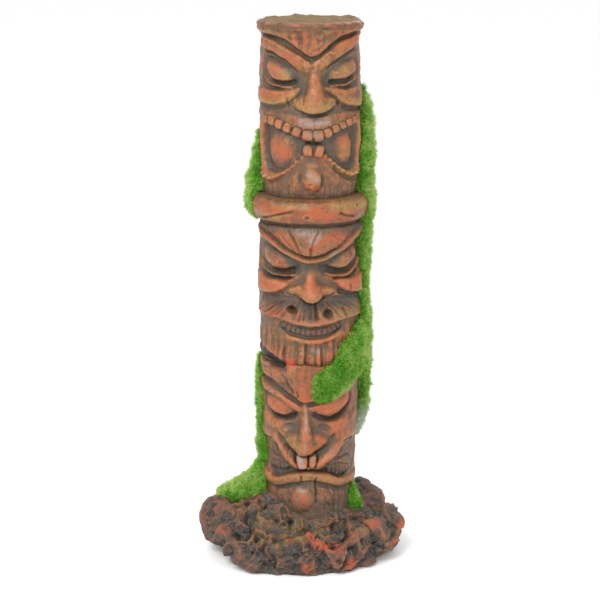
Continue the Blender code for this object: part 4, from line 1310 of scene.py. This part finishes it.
def resin_paint():
    """Painted carving: brown ground, orange-red dry brushing, ochre edges, a slate wash in the cuts, painted
    shade in slits and gaps, and painted highlights.
    """
    m = Shade("painted_resin_look")
    patch = m.noise(80.0, 3.0, 0.55, 0.6)
    blotch = m.noise(250.0, 5.0, 0.65, 0.8)
    fleck = m.noise(640.0, 4.0, 0.7, 0.4)
    grit = m.noise(1900.0, 3.0, 0.7)
    streak = m.noise(430.0, 4.0, 0.6, 0.2, m.stretched((1.0, 1.0, 0.13)))
    worked = m.total(m.attribute("cavity"), (blotch, 0.7), (fleck, 0.6), (streak, 0.4))
    wide = m.total(m.attribute("hollow"), (patch, 1.6), (blotch, 1.4))
    ground = m.blend(m.spread(patch, 0.42, 0.58), seen(128, 88, 60), seen(146, 91, 64))
    ground = m.blend(m.spread(fleck, 0.45, 0.58, 0.0, 0.8), ground, seen(112, 94, 72))
    ground = m.blend(m.spread(blotch, 0.56, 0.66, 0.0, 0.6), ground, seen(140, 116, 76))
    ground = m.blend(m.spread(streak, 0.50, 0.64, 0.0, 0.6), ground, seen(100, 74, 58))
    broken = m.spread(m.total(blotch, (fleck, 0.7)), 0.60, 0.42, 0.3)
    brushed = m.math("MULTIPLY", m.spread(worked, 0.14, -0.34), broken)
    warm = m.blend(m.spread(m.total(patch, (fleck, 0.7)), 0.42, 0.58), seen(182, 122, 72), seen(194, 106, 66))
    colour = m.blend(brushed, ground, warm)
    glow = m.mask("glow", m.total(fleck, (blotch, 1.5)), 0.36, 0.60, 0.1)
    colour = m.coat(colour, glow, 0.85, seen(202, 104, 64))
    colour = m.blend(m.spread(m.attribute("glow"), 1.6, 3.0, 0.0, 0.85), colour, seen(212, 86, 58))
    ochre = m.mask("ochre", m.total(blotch, (fleck, 0.8)), 0.70, 0.42, 0.2)
    colour = m.coat(colour, ochre, 0.85, seen(182, 144, 80))
    edge = m.math("MULTIPLY", m.spread(worked, -0.28, -0.72), m.spread(fleck, 0.44, 0.60, 0.2, 1.0))
    colour = m.coat(colour, edge, 0.5, seen(212, 150, 114))
    # Light pinkish-grey tint: paint on the forehead and eyelids, painted highlights on noses, chin tops and
    # lips, and both on the teeth
    pale = m.mask("pale", m.total(fleck, (blotch, 0.8)), 0.36, 0.60, 0.25)
    colour = m.coat(colour, pale, 0.75, seen(196, 172, 166))
    colour = m.blend(m.spread(wide, 0.0, 1.0, 0.0, 0.72), colour, seen(102, 88, 72))
    # Slate tint: slate paint and painted shade in slits, gaps, mouth hollows and under overhangs, joined to
    # the slate wash of the cuts
    soot = m.mask("soot", m.total(blotch, (fleck, 1.0)), 0.68, 0.38, 0.45)
    wash = m.math("MAXIMUM", m.spread(worked, 0.14, 0.80), m.math("MULTIPLY", soot, 0.85))
    slate = m.blend(m.spread(patch, 0.42, 0.58), seen(96, 94, 84), seen(104, 86, 76))
    colour = m.coat(colour, wash, 0.88, slate)
    colour = m.coat(colour, m.spread(worked, 0.8, 1.8), 0.75, seen(76, 68, 62))
    # Dark grey tint: painted shade in eyelid slits, mouth gaps, the slot by the seams and under the band
    dark = m.mask("dark", m.total(blotch, (fleck, 0.6)), 0.70, 0.36, 0.6)
    colour = m.coat(colour, dark, 0.9, seen(66, 66, 62))
    end = m.blend(m.spread(m.total(blotch, (fleck, 1.0)), 0.42, 0.58), seen(138, 118, 84), seen(164, 130, 94))
    end = m.blend(m.spread(worked, 0.10, 0.6, 0.0, 0.6), end, seen(108, 92, 72))
    colour = m.blend(m.attribute("top"), colour, end)
    colour = m.blend(m.spread(grit, 0.63, 0.70, 0.0, 0.45), colour, seen(84, 62, 52))
    colour = m.blend(m.spread(grit, 0.37, 0.30, 0.0, 0.35), colour, seen(206, 170, 140))
    rough = m.total(m.spread(wash, 0.0, 1.0, 0.38, 0.60), (grit, 0.3), (blotch, 0.3))
    rough = m.math("MAXIMUM", rough, m.math("MULTIPLY", m.attribute("top"), 0.9))
    m.set(Base_Color=colour, Roughness=rough, Normal=m.bump(grit, 0.00018, 0.7, m.bump(fleck, 0.00034, 0.8)))
    return m.material


def rock_paint():
    """Lava rock: near-black hollows, brown ground, orange-red and ochre dry brushing on the rims, and painted
    shade on faces that point down.
    """
    m = Shade("rock_resin_look")
    patch = m.noise(70.0, 3.0, 0.5, 0.8)
    blotch = m.noise(240.0, 5.0, 0.7, 0.8)
    fleck = m.noise(650.0, 4.0, 0.7, 0.4)
    grit = m.noise(1700.0, 3.0, 0.7)
    worked = m.total(m.attribute("cavity"), (blotch, 1.8), (fleck, 1.2))
    ground = m.blend(m.spread(patch, 0.42, 0.58), seen(112, 92, 76), seen(128, 96, 78))
    ground = m.blend(m.spread(blotch, 0.46, 0.58), ground, seen(84, 88, 80))
    ground = m.blend(m.spread(fleck, 0.48, 0.60, 0.0, 0.7), ground, seen(96, 72, 66))
    broken = m.spread(m.total(patch, (fleck, 1.0)), 0.46, 0.62, 0.1)
    brushed = m.math("MULTIPLY", m.spread(worked, 0.0, -0.8), broken)
    colour = m.coat(ground, brushed, 0.8, seen(172, 108, 80))
    rim = m.mask("rim", m.total(fleck, (blotch, 1.0)), 0.40, 0.58, 0.15)
    rim_paint = m.blend(m.spread(patch, 0.44, 0.56), seen(186, 98, 66), seen(164, 126, 82))
    colour = m.coat(colour, rim, 0.85, rim_paint)
    dark = m.total(m.spread(worked, 0.0, 0.6), (blotch, 0.8))
    colour = m.coat(colour, m.spread(dark, 0.1, 0.9), 0.9, seen(80, 76, 70))
    sunk = m.total(m.attribute("hollow"), (blotch, 2.0), (patch, 2.0))
    slate = m.blend(m.spread(fleck, 0.42, 0.60), seen(62, 68, 66), seen(96, 94, 86))
    colour = m.blend(m.spread(sunk, -0.5, 1.1, 0.0, 0.95), colour, slate)
    colour = m.blend(m.spread(grit, 0.53, 0.60, 0.0, 0.4), colour, seen(150, 108, 84))
    dust = m.mask("dust", m.total(fleck, (blotch, 1.2)), 0.58, 0.42, 0.1)
    colour = m.coat(colour, dust, 0.8, seen(160, 144, 84))
    ember = m.math("MULTIPLY", m.math("MULTIPLY", m.attribute("ember"), 1.5),
                   m.spread(worked, 0.7, -0.1, 0.1), True)
    ember_paint = m.blend(m.spread(fleck, 0.42, 0.6), seen(218, 98, 64), seen(176, 100, 72))
    colour = m.coat(colour, ember, 0.9, ember_paint)
    # Painted shade: faces that point down are darkened to grey-brown
    under = m.spread(m.attribute("upward"), 0.1, -0.7, 0.0, 0.5)
    colour = m.blend(under, colour, seen(84, 76, 66))
    colour = m.blend(m.spread(grit, 0.635, 0.70, 0.0, 0.7), colour, seen(206, 196, 186))
    colour = m.blend(m.spread(grit, 0.38, 0.30, 0.0, 0.6), colour, seen(50, 44, 42))
    rough = m.spread(grit, 0.3, 0.7, 0.42, 0.72)
    m.set(Base_Color=colour, Roughness=rough, Normal=m.bump(grit, 0.00022, 0.8, m.bump(fleck, 0.00045, 0.9)))
    return m.material


def moss_look():
    """Flock: dark at the roots, vivid green, yellow-green towards the tips and in patches."""
    def green(*rgb):
        return seen(*rgb, light=1.15, gloss=0.004)

    m = Shade("moss_flock_look")
    grit = m.noise(900.0, 3.0, 0.6)
    # The tone attribute also carries painted light, raised on the moss at the pole's sides
    tip, tone = m.attribute("tip"), m.total(m.attribute("tone"), (grit, 0.8))
    body = m.blend(m.spread(tone, 0.1, 0.9), green(54, 124, 22), green(116, 174, 48))
    ends = m.blend(m.spread(tone, 0.1, 0.8), green(92, 170, 42), green(184, 218, 112))
    ends = m.blend(m.spread(tone, 0.95, 1.25, 0.0, 0.8), ends, green(228, 236, 170))
    colour = m.blend(m.spread(tip, 0.05, 0.8), m.blend(0.2, body, green(44, 104, 16)), ends)
    colour = m.coat(colour, m.attribute("dust"), 0.8, green(206, 214, 196))
    m.set(Base_Color=colour, Roughness=0.8, Specular_IOR_Level=0.12)
    m.set(Normal=m.bump(grit, 0.0002, 0.5))
    return m.material


# ---------------------------------------------------------------- build

LOWER_PROFILE = numbers("20 19.6, 36 19.5, 50 19.8, 58 20.6, 80 20.8, 86 21.2, 90 20.8")
MIDDLE_PROFILE = numbers("""
90 21.6, 92.5 22.2, 96 21.8, 105 21.4, 110 21.4, 122 21.8, 135 21.8, 145 21.2, 149.8 21.4, 151.8 24,
154.5 24.6, 157 24.7, 159.8 24, 161 22.4""")
UPPER_PROFILE = numbers("""
161 19.4, 164 19.8, 168 20.4, 185 21, 212 21, 220 20.4, 226.5 19.8, 229 20.6, 231 21.6, 232.6 21.7,
233.5 21.1, 234 20""")

FOOT_Z = 17.0

resin, rock_look, moss_green = resin_paint(), rock_paint(), moss_look()
pieces = {}

lower = Carving(FOOT_Z, LOWER_TOP, LOWER_PROFILE, 100)
carve_lower(lower)
middle = Carving(LOWER_TOP + SEAM, MIDDLE_TOP, MIDDLE_PROFILE, 200)
carve_middle(middle)
upper = Carving(MIDDLE_TOP + SEAM, TOP_Z, UPPER_PROFILE, 300)
carve_upper(upper)
for carving in (lower, middle, upper):
    carving.weather()
for carving, share in ((lower, smooth((lower.true_z - LOWER_TOP + 5.0) / 5.0)),
                       (middle, 1.0 - smooth((middle.true_z - LOWER_TOP - SEAM) / 4.0))):
    flat = carving.place * (1, 1, 0)
    carving.lift = share * (0.9 * noise(flat / 4.5, 360) + 0.35 * noise(flat / 1.8, 361) - 0.3)
brim = smooth((upper.true_z - 227.5) / 3.0)
upper.h += brim * (0.5 * noise(upper.place / 4.0, 350) + 0.3 * noise(upper.place / 1.8, 351))
upper.h = np.where(upper.true_z > 228.0, np.minimum(upper.h, 22.5 - upper.radius), upper.h)
flat = upper.place * (1, 1, 0)
upper.lift = smooth((upper.true_z - 229.0) / 5.0)
upper.lift *= 0.9 * noise(flat / 7.0, 352) + 0.4 * noise(flat / 2.5, 353) - 0.5
for carving in (middle, upper):
    carving.lift[0] -= SEAM_DIP
for carving in (lower, middle, upper):
    carving.finish_paint()

pieces["lower_tiki"] = head("lower_face", lower, resin, flat_top(lower))
pieces["middle_tiki"] = head("middle_face", middle, resin, flat_top(middle))
pieces["upper_tiki"] = head("upper_face", upper, resin, sawn_top(upper))
pieces["rock_base"] = make_rock(rock_look)

skin = PoleSkin([lower, middle, upper])
for node, name, rows, seed, per_mm2, ragged in (
        ("moss_right_strip", "moss_right", MOSS_RIGHT, 500, 12.0, 1.2),
        ("moss_front_drape", "moss_drape", MOSS_DRAPE, 520, 13.0, 1.4),
        ("moss_left_upper", "moss_beside_top", MOSS_LEFT_UPPER, 540, 13.0, 1.2),
        ("moss_left_lower", "moss_beside_low", MOSS_LEFT_LOWER, 560, 13.0, 1.2),
        ("moss_foot_right", "moss_tuft", MOSS_FOOT, 580, 14.0, 1.2)):
    pieces[node] = moss_strip(name, rows, skin, moss_green, seed, per_mm2, ragged)
pieces["moss_base_left"] = moss_mound("moss_hill", MOSS_MOUND, moss_green, 600, 13.0)

for node, piece in pieces.items():
    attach(piece, "root")
    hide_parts(node)


# ---------------------------------------------------------------- stage


def stage():
    """An off-white floor, soft lights and the camera."""
    m = Shade("floor_look")
    m.set(Base_Color=(0.985, 0.985, 0.985, 1.0), Roughness=0.9, Specular_IOR_Level=0.2)
    mesh = bpy.data.meshes.new("floor")
    mesh.from_pydata([(-6, -4, 0), (6, -4, 0), (6, 8, 0), (-6, 8, 0)], [], [(0, 1, 2, 3)])
    mesh.materials.append(m.material)
    floor = bpy.data.objects.new("floor", mesh)
    bpy.context.scene.collection.objects.link(floor)
    floor.location.z = -0.0002

    world = bpy.data.worlds.new("studio")
    bpy.context.scene.world = world
    world.use_nodes = True
    world.node_tree.nodes["Background"].inputs["Color"].default_value = (1.0, 1.0, 1.0, 1.0)
    world.node_tree.nodes["Background"].inputs["Strength"].default_value = 1.0

    def softbox(name, place, size, power):
        light = bpy.data.lights.new(name, "AREA")
        light.shape = "RECTANGLE"
        light.size, light.size_y = size
        light.energy = power
        lamp = bpy.data.objects.new(name, light)
        bpy.context.scene.collection.objects.link(lamp)
        lamp.location = place
        lamp.rotation_euler = (Vector((0, 0, 0.12)) - Vector(place)).to_track_quat("-Z", "Y").to_euler()

    softbox("key", (-0.35, -0.7, 0.8), (0.45, 0.45), 8.0)
    softbox("fill", (0.7, -0.6, 0.35), (0.4, 0.5), 1.6)
    softbox("rim", (0.2, 0.9, 0.7), (0.5, 0.4), 1.5)

    camera = bpy.data.cameras.new("camera")
    camera.lens = 107.6
    camera.sensor_width = 36.0
    camera.shift_x, camera.shift_y = -0.0167, -0.007
    view = bpy.data.objects.new("camera", camera)
    bpy.context.scene.collection.objects.link(view)
    view.location = (0.0, -0.75, 0.302)
    view.rotation_euler = (Vector((0, 0, 0.115)) - view.location).to_track_quat("-Z", "Y").to_euler()
    bpy.context.scene.camera = view
    bpy.context.scene.view_settings.view_transform = "Standard"


stage()
